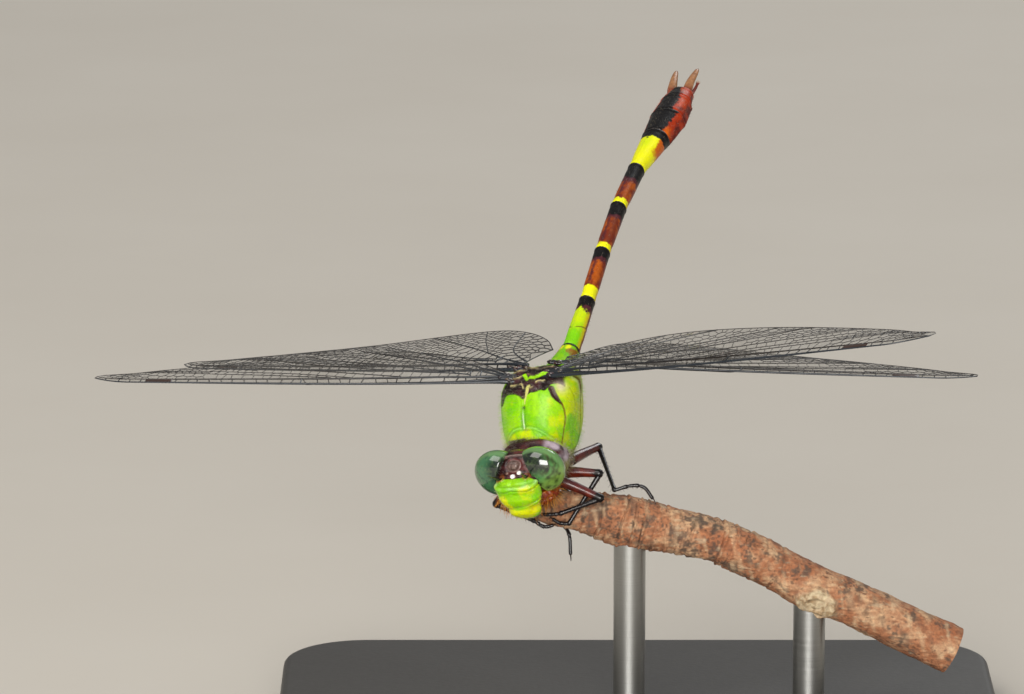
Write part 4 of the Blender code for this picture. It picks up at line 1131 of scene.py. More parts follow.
def bead(centre, half_width, half_depth, half_height, rows, sides):
    """A rounded bead of level rings."""
    rings = []
    for rise in pi * np.arange(1, rows) / rows:
        rings.append(oval(np.asarray(centre) - (0, 0, half_height * cos(rise)), (1, 0, 0),
                          (0, 1, 0), half_width * sin(rise), half_depth * sin(rise), sides))
    return loft(rings)


bead_glass = new_finish("ocellus_glass", "6b4a3e", 0.08, Coat_Weight=1.0,
                        Coat_Roughness=0.02)
surface = Nodes(bead_glass)
surface.mottle(0.3, surface.noise(3000.0), (0.35, (0.4,) * 3), (0.65, (0.6,) * 3))
beads = Shape()
for centre, radius, shade in OCELLI:
    points, faces = bead(centre, radius, radius * 0.9, radius * 0.9, 14, 24)
    beads.add((placed(HEAD, points), faces), shade)
beads.finish("crown_ocelli", [bead_glass], "brown_cuticle")

horn = new_finish("black_horn", "141112", 0.26, Coat_Weight=0.4, Coat_Roughness=0.1)
surface = Nodes(horn)
surface.join(surface.ramp(surface.noise(2600.0), (0.3, "0c0a0b"), (0.72, "2c2524")),
             "Base Color")
surface.dull(surface.noise(1500.0), 0.18, 0.4)
surface.bump(surface.noise(9000.0, 4.0), 0.00002, 0.6)
for which, name in enumerate(("antenna_left", "antenna_right")):
    route = [(joint[which], *joint[2:]) for joint in FEELER]
    points, radii = smooth_route(route, FEELER_RADII, 60)
    share = np.linspace(0, 5, 60)
    for knot in (1.0, 2.0, 3.0):
        radii = radii * (1 + 0.22 * hill(share - knot + 0.1, 0.1) - 0.2 * hill(share - knot, 0.05))
    points, faces = tube(points, radii, 16)
    feeler = Shape()
    feeler.add((placed(HEAD, points), faces))
    feeler.finish(name + "_jointed", [horn], "black_leg", [name])

# ---------------------------------------------------------------- tail tips
# A pair of tan, slightly flattened tapering claspers over a thin dark red plate that
# ends in a pale knob, all set into the last tail ring.
TIP_LEAN = 0.16
CERCUS = ((0.56, -0.1, 0.1), (0.62, 0.4, 0.15), (0.66, 0.95, 0.22), (0.72, 1.45, 0.24),
          (0.78, 1.95, 0.23), (0.82, 2.4, 0.2), (0.84, 2.62, 0.16))
CERCUS_RADII = (0.3, 0.34, 0.31, 0.27, 0.22, 0.15, 0.06)
EPIPROCT = ((0.1, 0.0, -0.35), (0.18, 0.4, -0.5), (0.3, 0.95, -0.72), (0.42, 1.6, -0.76),
            (0.5, 2.3, -0.7))
EPIPROCT_RADII = (0.3, 0.26, 0.18, 0.12, 0.09)
tip_axes = axes(TAIL_RINGS[-1][4] - 1, TAIL_RINGS[-1][3] + 6, BODY_ROLL, tail_centres[-1])
tip_finish = new_finish("tan_claspers", "b0794c", 0.4, Coat_Weight=0.25,
                        Coat_Roughness=0.2)
surface = Nodes(tip_finish)
surface.mottle(0.4, surface.noise(4000.0), (0.3, (0.34, 0.32, 0.3)), (0.7, (0.7, 0.68, 0.64)))
surface.bump(surface.noise(7000.0), 0.00003, 0.6)
for side, name in ((1, "cercus_left"), (-1, "cercus_right")):
    points, radii = smooth_route([(cx * side - TIP_LEAN, cy, cz) for cx, cy, cz in CERCUS],
                                 CERCUS_RADII, 50)
    points, faces = tube(points, radii, 28, flatten=0.8)
    share = np.clip(points[:, 1] / 2.6, 0, 1)
    tone = brushed(
        blend(ramp_up(share, 0.02, 0.3), "7a3218", "a0704a"),
        (0.5 * ramp_up(lumps(points, 0.2, 91), 0.0, 0.7), "744a30"),
        (0.6 * ramp_up(share, 0.85, 1.0), "6b4030"))
    clasper = Shape()
    clasper.add((placed(tip_axes, points), faces), tone)
    clasper.finish(name + "_clasper", [tip_finish], "tail_tip", [name])
points, radii = smooth_route(EPIPROCT, EPIPROCT_RADII, 40)
radii = radii + 0.07 * hill(np.linspace(0, 1, 40) - 0.96, 0.05)
points, faces = tube(points, radii, 20, flatten=0.6)
share = np.clip(points[:, 1] / 2.3, 0, 1)
tone = brushed(
    blend(ramp_up(share, 0.2, 0.5), "5c1c14", "7a2a1c"),
    (ramp_up(share, 0.88, 0.95), "c9b7a6"))
lower_tip = Shape()
lower_tip.add((placed(tip_axes, points), faces), tone)
lower_tip.finish("epiproct_plate", [tip_finish], "dark_tail", ["epiproct"])

# ---------------------------------------------------------------- wings
# Four glass-clear wings, each a pleated film 0.02 mm thick stretched on a net of black
# veins: stout ribs along the front, a fan of ribs behind them, and small cross-veins
# between. Each has a notch rib halfway and a dark sealed cell near its tip.
FORE_WING_LENGTH, HIND_WING_LENGTH = 29.0, 28.2
WING_BOW, WING_TIP_CURL = 0.45, 1.9
FORE_CHORD = ((0, 1.1), (0.04, 2.0), (0.14, 4.0), (0.3, 5.7), (0.5, 6.5), (0.68, 6.2),
              (0.84, 5.0), (0.94, 3.3), (0.985, 1.8), (1, 0.7))
HIND_CHORD = ((0, 5.6), (0.035, 6.8), (0.1, 7.8), (0.2, 8.5), (0.36, 8.4), (0.55, 7.5),
              (0.72, 6.4), (0.86, 4.8), (0.945, 3.1), (0.985, 1.7), (1, 0.7))
# The left hind wing shows less of its root, which is folded under.
LEFT_HIND_CHORD = ((0, 1.8), (0.035, 3.4), (0.07, 5.4), (0.11, 7.0), (0.2, 8.3), *HIND_CHORD[4:])
# Side, hinge in the body's axes, turn from sideways, rise of the tip, how far the hind
# edge is tipped up at the root and at the tip, and how far it droops right at the root.
DROOP_REACH = 0.08
WING_POSES = {
    "wing_fore_left": (1, (2.02, 0.56, 3.24), -33.0, 11.3, 18.0, -5.0, 0.0),
    "wing_fore_right": (-1, (-1.82, 0.59, 3.1), 9.0, -1.95, 20.0, -4.0, 0.0),
    "wing_hind_left": (1, (1.92, 2.64, 2.67), -8.1, -0.5, 1.7, -5.5, 0.0),
    "wing_hind_right": (-1, (-1.88, 2.37, 2.72), 30.7, -6.0, 10.5, -5.5, 10.0),
}
# Ribs: radius, height of the pleat, then (share of length, share of chord) points.
FORE_RIBS = (
    (0.062, -0.13, ((0, 0.32), (0.05, 0.17), (0.1, 0.095), (0.3, 0.06), (0.46, 0.045), (0.487, 0.0))),
    (0.066, 0.10, ((0, 0.45), (0.05, 0.29), (0.1, 0.18), (0.3, 0.125), (0.5, 0.105), (0.8, 0.105),
                   (0.9, 0.12), (0.96, 0.17), (0.99, 0.3))),
    (0.042, -0.06, ((0.085, 0.27), (0.2, 0.185), (0.4, 0.165), (0.6, 0.175), (0.8, 0.21), (0.92, 0.33),
                    (0.975, 0.62))),
    (0.038, 0.03, ((0.42, 0.166), (0.55, 0.25), (0.7, 0.37), (0.82, 0.56), (0.9, 0.82), (0.93, 1.0))),
    (0.034, -0.05, ((0.36, 0.18), (0.5, 0.33), (0.65, 0.48), (0.78, 0.72), (0.86, 1.0))),
    (0.038, 0.05, ((0.25, 0.175), (0.4, 0.31), (0.55, 0.48), (0.68, 0.72), (0.77, 1.0))),
    (0.04, 0.07, ((0.085, 0.32), (0.2, 0.31), (0.38, 0.45), (0.52, 0.68), (0.61, 1.0))),
    (0.04, -0.06, ((0.1, 0.46), (0.16, 0.44), (0.33, 0.6), (0.45, 0.82), (0.51, 1.0))),
    (0.045, 0.05, ((0, 0.62), (0.06, 0.58), (0.15, 0.6), (0.24, 0.74), (0.31, 0.88), (0.35, 1.0))),
    (0.038, -0.03, ((0, 0.8), (0.07, 0.78), (0.14, 0.84), (0.2, 0.94), (0.225, 1.0))),
)
HIND_RIBS = (
    (0.062, -0.13, ((0, 0.1), (0.04, 0.08), (0.1, 0.06), (0.3, 0.042), (0.4, 0.036), (0.432, 0.0))),
    (0.066, 0.10, ((0, 0.16), (0.04, 0.14), (0.1, 0.115), (0.3, 0.09), (0.5, 0.09), (0.8, 0.105),
                   (0.9, 0.12), (0.96, 0.17), (0.99, 0.3))),
    (0.042, -0.06, ((0.075, 0.17), (0.2, 0.125), (0.4, 0.13), (0.6, 0.15), (0.8, 0.2), (0.92, 0.33),
                    (0.975, 0.62))),
    (0.038, 0.03, ((0.4, 0.13), (0.55, 0.21), (0.7, 0.34), (0.82, 0.54), (0.9, 0.82), (0.93, 1.0))),
    (0.034, -0.05, ((0.33, 0.14), (0.5, 0.29), (0.65, 0.46), (0.78, 0.72), (0.86, 1.0))),
    (0.038, 0.05, ((0.22, 0.13), (0.38, 0.26), (0.55, 0.46), (0.68, 0.72), (0.77, 1.0))),
    (0.04, 0.07, ((0.075, 0.21), (0.2, 0.22), (0.38, 0.38), (0.52, 0.63), (0.62, 1.0))),
    (0.04, -0.06, ((0.09, 0.3), (0.16, 0.3), (0.33, 0.47), (0.46, 0.75), (0.52, 1.0))),
    (0.045, 0.05, ((0, 0.24), (0.05, 0.27), (0.13, 0.4), (0.24, 0.6), (0.35, 0.86), (0.39, 1.0))),
    (0.038, -0.04, ((0.13, 0.4), (0.16, 0.55), (0.2, 0.75), (0.24, 1.0))),
    (0.038, -0.03, ((0, 0.36), (0.04, 0.42), (0.08, 0.56), (0.1, 0.75), (0.12, 1.0))),
)
# Thick cross ribs: the notch rib, the arch near the root and the triangle.
FORE_LINKS = (((0.487, 0.0), (0.487, 0.106)), ((0.085, 0.2), (0.085, 0.47)),
              ((0.12, 0.31), (0.135, 0.45)), ((0.135, 0.45), (0.165, 0.32)),
              ((0.08, 0.47), (0.1, 0.46)), ((0.06, 0.27), (0.06, 0.58)))
HIND_LINKS = (((0.432, 0.0), (0.432, 0.09)), ((0.075, 0.13), (0.075, 0.36)),
              ((0.105, 0.21), (0.11, 0.3)), ((0.11, 0.3), (0.15, 0.21)),
              ((0.075, 0.32), (0.09, 0.3)), ((0.045, 0.14), (0.045, 0.27)))
SEALED_CELL = (0.80, 0.865)
# Spacing of the small cells in each zone of a wing, and the shortest vein worth making.
CELL_SPACING = (("front", 0.82), ("middle", 0.66), ("hind", 0.5))
EDGE_SPACING, SHORTEST_VEIN = 0.5, 0.06
COSTA_RADIUS, MARGIN_RADIUS, CROSS_RADIUS, FILM_HALF = 0.075, 0.026, 0.024, 0.011


class WingPlan:
    """Reads one wing's curved plan: places on it, its pleats and its ribs."""

    def __init__(self, name):
        self.pose = WING_POSES[name]
        self.is_fore = "fore" in name
        self.length = FORE_WING_LENGTH if self.is_fore else HIND_WING_LENGTH
        self.chord_table = (FORE_CHORD if self.is_fore else
                            LEFT_HIND_CHORD if self.pose[0] > 0 else HIND_CHORD)
        self.ribs = FORE_RIBS if self.is_fore else HIND_RIBS
        self.links = FORE_LINKS if self.is_fore else HIND_LINKS

    def chord(self, share):
        return read_curve(self.chord_table, share)[:, 0]

    def rib_fraction(self, rib, share):
        """A rib's share of the chord, or nothing where it doesn't reach."""
        route = rib[2]
        fraction = read_curve(route, share)[:, 0]
        return np.where((share < route[0][0]) | (share > route[-1][0]), np.nan, fraction)

    def height(self, share, fraction):
        """Height of the pleated film: straight between the ribs above and below."""
        low_at, low_level = np.zeros(len(share)), np.zeros(len(share))
        high_at, high_level = np.ones(len(share)), np.zeros(len(share))
        for rib in self.ribs:
            here = self.rib_fraction(rib, share)
            # A rib lies level with the film's edge where it runs out into it.
            level = rib[1] * ramp_up(here, 0, 0.04) * ramp_up(1 - here, 0, 0.12)
            below = ~np.isnan(here) & (here <= fraction) & (here > low_at)
            low_at, low_level = np.where(below, here, low_at), np.where(below, level, low_level)
            above = ~np.isnan(here) & (here > fraction) & (here < high_at)
            high_at = np.where(above, here, high_at)
            high_level = np.where(above, level, high_level)
        t = (fraction - low_at) / np.maximum(high_at - low_at, 1e-4)
        size = ramp_up(self.chord(share), 0.8, 4.5)
        return (low_level * (1 - t) + high_level * t + 0.10 * np.sin(pi * fraction)) * size

    def spot(self, share, fraction, raised=0.0, pleated=True):
        """Places on the wing in world millimetres."""
        share = np.atleast_1d(np.asarray(share, float))
        fraction = np.broadcast_to(np.asarray(fraction, float), share.shape)
        side, hinge, turn, rise, root_edge, tip_edge, droop = self.pose
        t, r = radians(turn), radians(rise)
        out = np.array([side * cos(t) * cos(r), sin(t) * cos(r), sin(r)])
        level_back = unit(np.array([0, 1, 0]) - out * out[1])
        level_up = np.cross(out, level_back) * side
        inside = np.clip(share, 0, 1)
        tilt = np.radians(tip_edge + (root_edge - tip_edge) * (1 - inside) ** 1.5
                          - droop * np.exp(-inside / DROOP_REACH))[:, None]
        back = level_back * np.cos(tilt) + level_up * np.sin(tilt)
        up = level_up * np.cos(tilt) - level_back * np.sin(tilt)
        lead = WING_TIP_CURL * (np.maximum(inside - 0.9, 0) / 0.1) ** 2 \
            - WING_BOW * np.sin(pi * np.minimum(inside, 0.9))
        height = raised + (self.height(inside, fraction) if pleated else 0.0)
        height = np.broadcast_to(height, share.shape)
        return (placed(THORAX, hinge) + np.outer(self.length * share, out)
                + back * (lead + self.chord(inside) * fraction)[:, None] + up * height[:, None])

    def leaf(self, shares, fractions, half):
        """A closed leaf over a grid of places, its half thickness given at each of them."""
        rows = []
        for share, thick in zip(shares, half):
            here = np.full(len(fractions), share)
            rows.append(np.vstack([self.spot(here, fractions, thick),
                                   self.spot(here, fractions, -thick)[::-1]]))
        return loft(rows)


def flat_crossing(a, b, route):
    """Where the segments a-b cross a flat route: one yes or no for each segment."""
    crossed = np.zeros(len(a), dtype=bool)
    for start, end in zip(route[:-1], route[1:]):
        run, gap = end - start, a - start
        step = b - a
        under = step[:, 0] * run[1] - step[:, 1] * run[0]
        under = np.where(np.abs(under) < 1e-12, 1e-12, under)
        t = -(gap[:, 0] * run[1] - gap[:, 1] * run[0]) / under
        u = -(gap[:, 0] * step[:, 1] - gap[:, 1] * step[:, 0]) / under
        crossed |= (t >= 0) & (t <= 1) & (u >= 0) & (u <= 1)
    return crossed


def onto_route(spots, route):
    """Each flat spot moved to the nearest place on a route, and how far that is."""
    best, moved = np.full(len(spots), 1e9), np.array(spots)
    for start, end in zip(route[:-1], route[1:]):
        run = end - start
        t = np.clip((spots - start) @ run / max(run @ run, 1e-12), 0, 1)
        near = start + t[:, None] * run
        gap = np.linalg.norm(spots - near, axis=1)
        closer = gap < best
        best[closer], moved[closer] = gap[closer], near[closer]
    return best, moved


def rims(ways, aside, sides):
    """A ring of unit directions square to each way; no way may lie along aside."""
    across = unit(np.cross(ways, aside))
    angle = 2 * pi * np.arange(sides)[:, None] / sides
    return across[:, None] * np.cos(angle) + np.cross(ways, across)[:, None] * np.sin(angle)


def rods_between(starts, ends, radius, sides=4):
    """Many thin straight rods at once."""
    ring = rims(unit(ends - starts), (0.13, 0.27, 0.95), sides) * np.reshape(radius, (-1, 1, 1))
    points = np.concatenate([starts[:, None] + ring, ends[:, None] + ring], axis=1)
    base = (np.arange(len(starts)) * 2 * sides)[:, None]
    here = np.arange(sides)
    caps = np.concatenate([base + here[::-1], base + sides + here])
    return points.reshape(-1, 3), [wall(base, sides), caps]


film = new_finish("clear_wing_film", "6d6a66", 0.12, Alpha=0.2, Coat_Weight=0.3,
                  Coat_Roughness=0.05)
surface = Nodes(film)
surface.join(surface.ramp(surface.noise(260.0), (0.35, "5f5a52"), (0.65, "84817c")),
             "Base Color")
surface.dull(surface.noise(500.0), 0.1, 0.3)
vein = new_finish("black_vein", "17161a", 0.3, Coat_Weight=0.3, Coat_Roughness=0.15)
surface = Nodes(vein)
surface.mottle(0.4, surface.noise(1400.0), (0.35, (0.3,) * 3), (0.7, (0.72,) * 3))
surface.dull(surface.noise(900.0), 0.2, 0.42)

# Blue-black veins near the root and the thick cross ribs are dark veins with a painted bluish sheen.
BLUE_SHEEN_BLACK, BROWN_VEIN = "1a2027", "1b1512"
for wing_number, name in enumerate(WING_POSES):
    plan = WingPlan(name)
    draw = np.random.default_rng(700 + wing_number)
    fine = np.linspace(0, 1, 160)
    outline = np.concatenate([
        np.stack([fine * plan.length, np.zeros(160)], axis=1),
        np.stack([fine * plan.length, plan.chord(fine)], axis=1)[::-1]])
    outline = np.vstack([outline, outline[:1]])
    routes = [outline]
    for _, _, route in plan.ribs:
        share = np.linspace(route[0][0], route[-1][0], 70)
        fraction = np.clip(read_curve(route, share)[:, 0], 0, 1)
        routes.append(np.stack([share * plan.length, fraction * plan.chord(share)], axis=1))

    # Seeds of the cells, in rows between neighbouring ribs, with a row beyond the edge.
    seeds = []
    for kind, spacing in CELL_SPACING:
        for column in range(int(plan.length / spacing)):
            share = (column + 0.5) * spacing / plan.length
            here = [rib for rib in plan.ribs if rib[2][0][0] <= share <= rib[2][-1][0]]
            levels = sorted([0.0, 1.0] + [float(read_curve(rib[2], share)[0, 0]) for rib in here])
            chord_here = plan.chord(share)[0]
            for number, (low, high) in enumerate(zip(levels, levels[1:])):
                gap = (high - low) * chord_here
                middle = (low + high) / 2
                zone = "front" if high < 0.2 and number < 2 else "middle" if middle < 0.5 else "hind"
                if zone != kind or gap < 0.1:
                    continue
                count = max(1, round(gap / (0.85 if zone == "middle" else 0.62)))
                for row in range(count):
                    stagger = 0.5 * spacing * (row % 2) if count > 1 else 0.0
                    jitter = draw.uniform(-0.13, 0.13, 2) * (zone != "front") * min(spacing, gap)
                    seeds.append((share * plan.length + stagger + jitter[0],
                                  (low + (high - low) * (row + 0.5) / count) * chord_here
                                  + jitter[1] * 0.6))
    count_inside = len(seeds)
    for column in range(int(plan.length / EDGE_SPACING) + 1):
        along = column * EDGE_SPACING
        edge = plan.chord(along / plan.length)[0]
        seeds += [(along, -0.3), (along, edge + 0.3)]
    seeds += [(plan.length + 0.35, 0.2), (plan.length + 0.35, 0.8), (-0.4, 0.3), (-0.4, 1.0)]
    triangles = geometry.delaunay_2d_cdt([Vector(seed) for seed in seeds], [], [], 0, 1e-5)
    spots = np.array([tuple(spot) for spot in triangles[0]])
    origin = np.array([ids[0] if ids else -1 for ids in triangles[3]])
    faces = np.array([face for face in triangles[2] if len(face) == 3])
    nodes = spots[faces].mean(axis=1)
    owners = {}
    for number, face in enumerate(faces):
        for first, second in ((0, 1), (1, 2), (2, 0)):
            owners.setdefault(tuple(sorted((face[first], face[second]))), []).append(number)
    shared = [(edge, pair) for edge, pair in owners.items() if len(pair) == 2]
    edge_ends = np.array([edge for edge, _ in shared])
    edge_nodes = np.array([pair for _, pair in shared])
    outside = (origin[edge_ends] >= count_inside).all(axis=1)
    crossed_any = np.zeros(len(edge_ends), dtype=bool)
    moved_to = np.array(nodes)
    moved_gap = np.full(len(nodes), 1e9)
    for route in routes:
        crossed = flat_crossing(spots[edge_ends[:, 0]], spots[edge_ends[:, 1]], route)
        touched = np.unique(edge_nodes[crossed & ~outside])
        gap, moved = onto_route(nodes[touched], route)
        closer = gap < moved_gap[touched]
        moved_to[touched[closer]], moved_gap[touched[closer]] = moved[closer], gap[closer]
        crossed_any |= crossed
    kept = ~crossed_any & ~outside
    starts, ends = moved_to[edge_nodes[kept, 0]], moved_to[edge_nodes[kept, 1]]
    long_enough = np.linalg.norm(starts - ends, axis=1) > SHORTEST_VEIN
    starts, ends = starts[long_enough], ends[long_enough]

    def on_wing(spot_list, raised=0.0):
        share = np.clip(spot_list[:, 0] / plan.length, 0, 1)
        chord_here = plan.chord(share)
        return plan.spot(share, np.clip(spot_list[:, 1] / chord_here, 0, 1), raised)

    net = Shape()
    base_thick = 1 + 0.7 * np.exp(-(starts[:, 0] + ends[:, 0]) / 2 / 3.0)
    front_thick = 1 + 0.5 * ((starts[:, 1] + ends[:, 1]) / 2 < 0.9)
    middle_spots = (starts + ends) / 2
    for first, second in ((starts, middle_spots), (middle_spots, ends)):
        net.add(rods_between(on_wing(first), on_wing(second),
                             CROSS_RADIUS * base_thick * front_thick), BROWN_VEIN)
    for first, second in plan.links:
        share = np.linspace(first[0], second[0], 8)
        fraction = np.linspace(first[1], second[1], 8)
        net.add(tube(plan.spot(share, fraction), np.full(8, 0.05), 8), BLUE_SHEEN_BLACK)
    # Ribs: each a tapering tube, swelling into the root of the wing.
    for radius, _, route in plan.ribs:
        share = np.linspace(route[0][0], route[-1][0], 90)
        if route[0][0] == 0 and (plan.is_fore or route[0][1] < 0.2):
            share = np.concatenate([np.linspace(-0.028, -0.004, 5), share])
        fraction = np.clip(read_curve(route, share)[:, 0], 0, 1)
        taper = radius * (1 - 0.5 * ramp_up(share, 0.3, 1.0)) * (1 + 1.3 * np.exp(-np.abs(share) / 0.05))
        tone = blend(ramp_up(share, 0.0, 0.5), BLUE_SHEEN_BLACK, BROWN_VEIN)
        points, tube_faces = tube(plan.spot(share, fraction), taper, 8)
        row_tone = np.repeat(np.vstack([tone[:1], tone[:1], tone, tone[-1:], tone[-1:]]), 8, axis=0)
        net.add((points, tube_faces), np.vstack([row_tone, tone[:1], tone[-1:]]))
    # The front rib: a dark vein with a painted blue-grey sheen.
    share = np.concatenate([np.linspace(-0.03, 0, 5), np.linspace(0.006, 1, 240)])
    costa_radius = COSTA_RADIUS * (1 - 0.45 * ramp_up(share, 0.5, 1.0)) \
        * (1 + 1.1 * np.exp(-np.abs(share) / 0.04)) * (1 + 0.12 * (np.arange(len(share)) % 2))
    net.add(tube(plan.spot(share, 0.0), costa_radius, 8), "1d242c")
    share = 1 - np.linspace(0, 1, 200) ** 1.15
    net.add(tube(plan.spot(share, 1.0), MARGIN_RADIUS * (1 + np.exp(-share / 0.03)), 6), BROWN_VEIN)
    edge = np.linspace(0, 1, 16)
    for end_share, thickness in ((1.0, 1.0), (0.0, 1.6)):
        net.add(tube(plan.spot(np.full(16, end_share), edge),
                     np.full(16, MARGIN_RADIUS * thickness), 6), BROWN_VEIN)
    # The sealed cell: a thick dark brown lens between the front rib and the next.
    swell = 0.045 * np.sqrt(np.clip(1 - np.linspace(-1, 1, 30) ** 4, 0.02, 1))
    net.add(plan.leaf(np.linspace(*SEALED_CELL, 30), np.linspace(0.01, 0.104, 8),
                      np.outer(swell, np.sin(pi * np.linspace(0.08, 0.92, 8)))), "3a241a")
    net.finish(name + "_veins", [vein], "wing", [name])

    # The film itself, a closed skin a little thicker than its real 0.003 mm.
    sheet = Shape()
    sheet.add(plan.leaf(*(0.5 - 0.5 * np.cos(pi * np.linspace(0, 1, count)) for count in (130, 40)),
                        np.full((130, 40), FILM_HALF)))
    sheet.finish(name + "_film", [film], "wing")

# Root plates: dark lumpy pieces that hinge each wing to the top of the thorax.
hinges = Shape()
for wing_number, (name, pose) in enumerate(WING_POSES.items()):
    plan = WingPlan(name)
    for number, (share, fraction, size, height) in enumerate((
            (-0.012, 0.1, 0.34, 0.0), (-0.03, 0.45, 0.3, 0.02), (-0.006, 0.75, 0.24, 0.0),
            (0.012, 0.32, 0.2, 0.06))):
        centre = plan.spot(share, fraction * (1.0 if plan.is_fore else 0.2), height,
                           pleated=False)[0]
        points, faces = bead(centre, size, size * 0.8, size * 0.6, 16, 28)
        push = 1 + 0.22 * lumps(points, 0.2, 101 + number) + 0.1 * lumps(points, 0.09, 105)
        points = centre + (points - centre) * push[:, None]
        # Pale patches on the dark plates are painted glints.
        tone = brushed(
            blend(ramp_up(lumps(points, 0.22, 107), -0.1, 0.6), "1b1114", "4a2d2c"),
            (0.5 * ramp_up(lumps(points, 0.16, 108), 0.35, 0.7), "a99a80"))
        hinges.add((points, faces), tone)
hinges.finish("wing_root_plates", [vein], "brown_cuticle")

# ---------------------------------------------------------------- legs
# Six legs, each one jointed casting: a glossy red-brown thigh with a black knee, a thin
# black shin and a three-part black foot with two claws, all set with stiff bristles.
# Each route: hip, knee, ankle, then points of the foot to its claws, in world mm.
LEG_ROUTES = {
    "leg_fore_left": ((-6.15, -2.3, 20.0), (-2.7, -3.1, 18.7), (-5.5, -2.9, 17.6),
                      (-6.2, -2.75, 17.5), (-6.75, -2.4, 17.4)),
    "leg_mid_left": ((-5.4, -1.3, 20.1), (-2.75, -1.8, 20.15), (-4.9, -2.35, 16.75),
                     (-5.5, -2.3, 16.8), (-5.95, -2.3, 17.05)),
    "leg_hind_left": ((-5.0, -0.3, 20.6), (-2.8, 3.2, 20.9), (-1.75, -0.8, 18.75),
                      (-0.65, -0.75, 19.05), (0.25, -0.75, 18.95), (0.85, -0.85, 18.2)),
    "leg_fore_right": ((-8.1, -1.7, 20.0), (-9.85, -0.6, 17.7), (-7.25, -2.1, 16.9),
                       (-6.6, -2.1, 16.5), (-6.0, -2.15, 16.6)),
    "leg_mid_right": ((-7.9, -0.2, 20.0), (-9.1, 3.0, 18.2), (-5.35, 1.2, 16.0),
                      (-4.85, 0.6, 15.3), (-4.75, 0.3, 14.0)),
    "leg_hind_right": ((-7.3, 0.9, 20.4), (-7.4, 5.2, 18.8), (-3.5, 1.55, 17.2),
                       (-2.4, 1.75, 16.75), (-1.5, 1.75, 16.7)),
}
THIGH_BROWN, THIGH_LILAC_SHEEN, KNEE_BLACK = "45160f", "6f4a52", "0e0b0c"


def points_on(starts, sides, tip):
    """The small triangles that close each ring of points onto its own tip."""
    here, ahead = np.arange(sides), (np.arange(sides) + 1) % sides
    return np.stack([starts + here, starts + ahead, starts + tip + 0 * here],
                    axis=-1).reshape(-1, 3)


def bristles(bases, tips, radius, sides=4):
    """Many thin straight pointed bristles at once."""
    bases, tips = np.array(bases), np.array(tips)
    ring = rims(unit(tips - bases), (0.21, 0.67, 0.71), sides)
    points = np.concatenate([bases[:, None] + ring * radius, tips[:, None]], axis=1)
    base = (np.arange(len(bases)) * (sides + 1))[:, None]
    return points.reshape(-1, 3), [points_on(base, sides, sides), base + np.arange(sides)[::-1]]


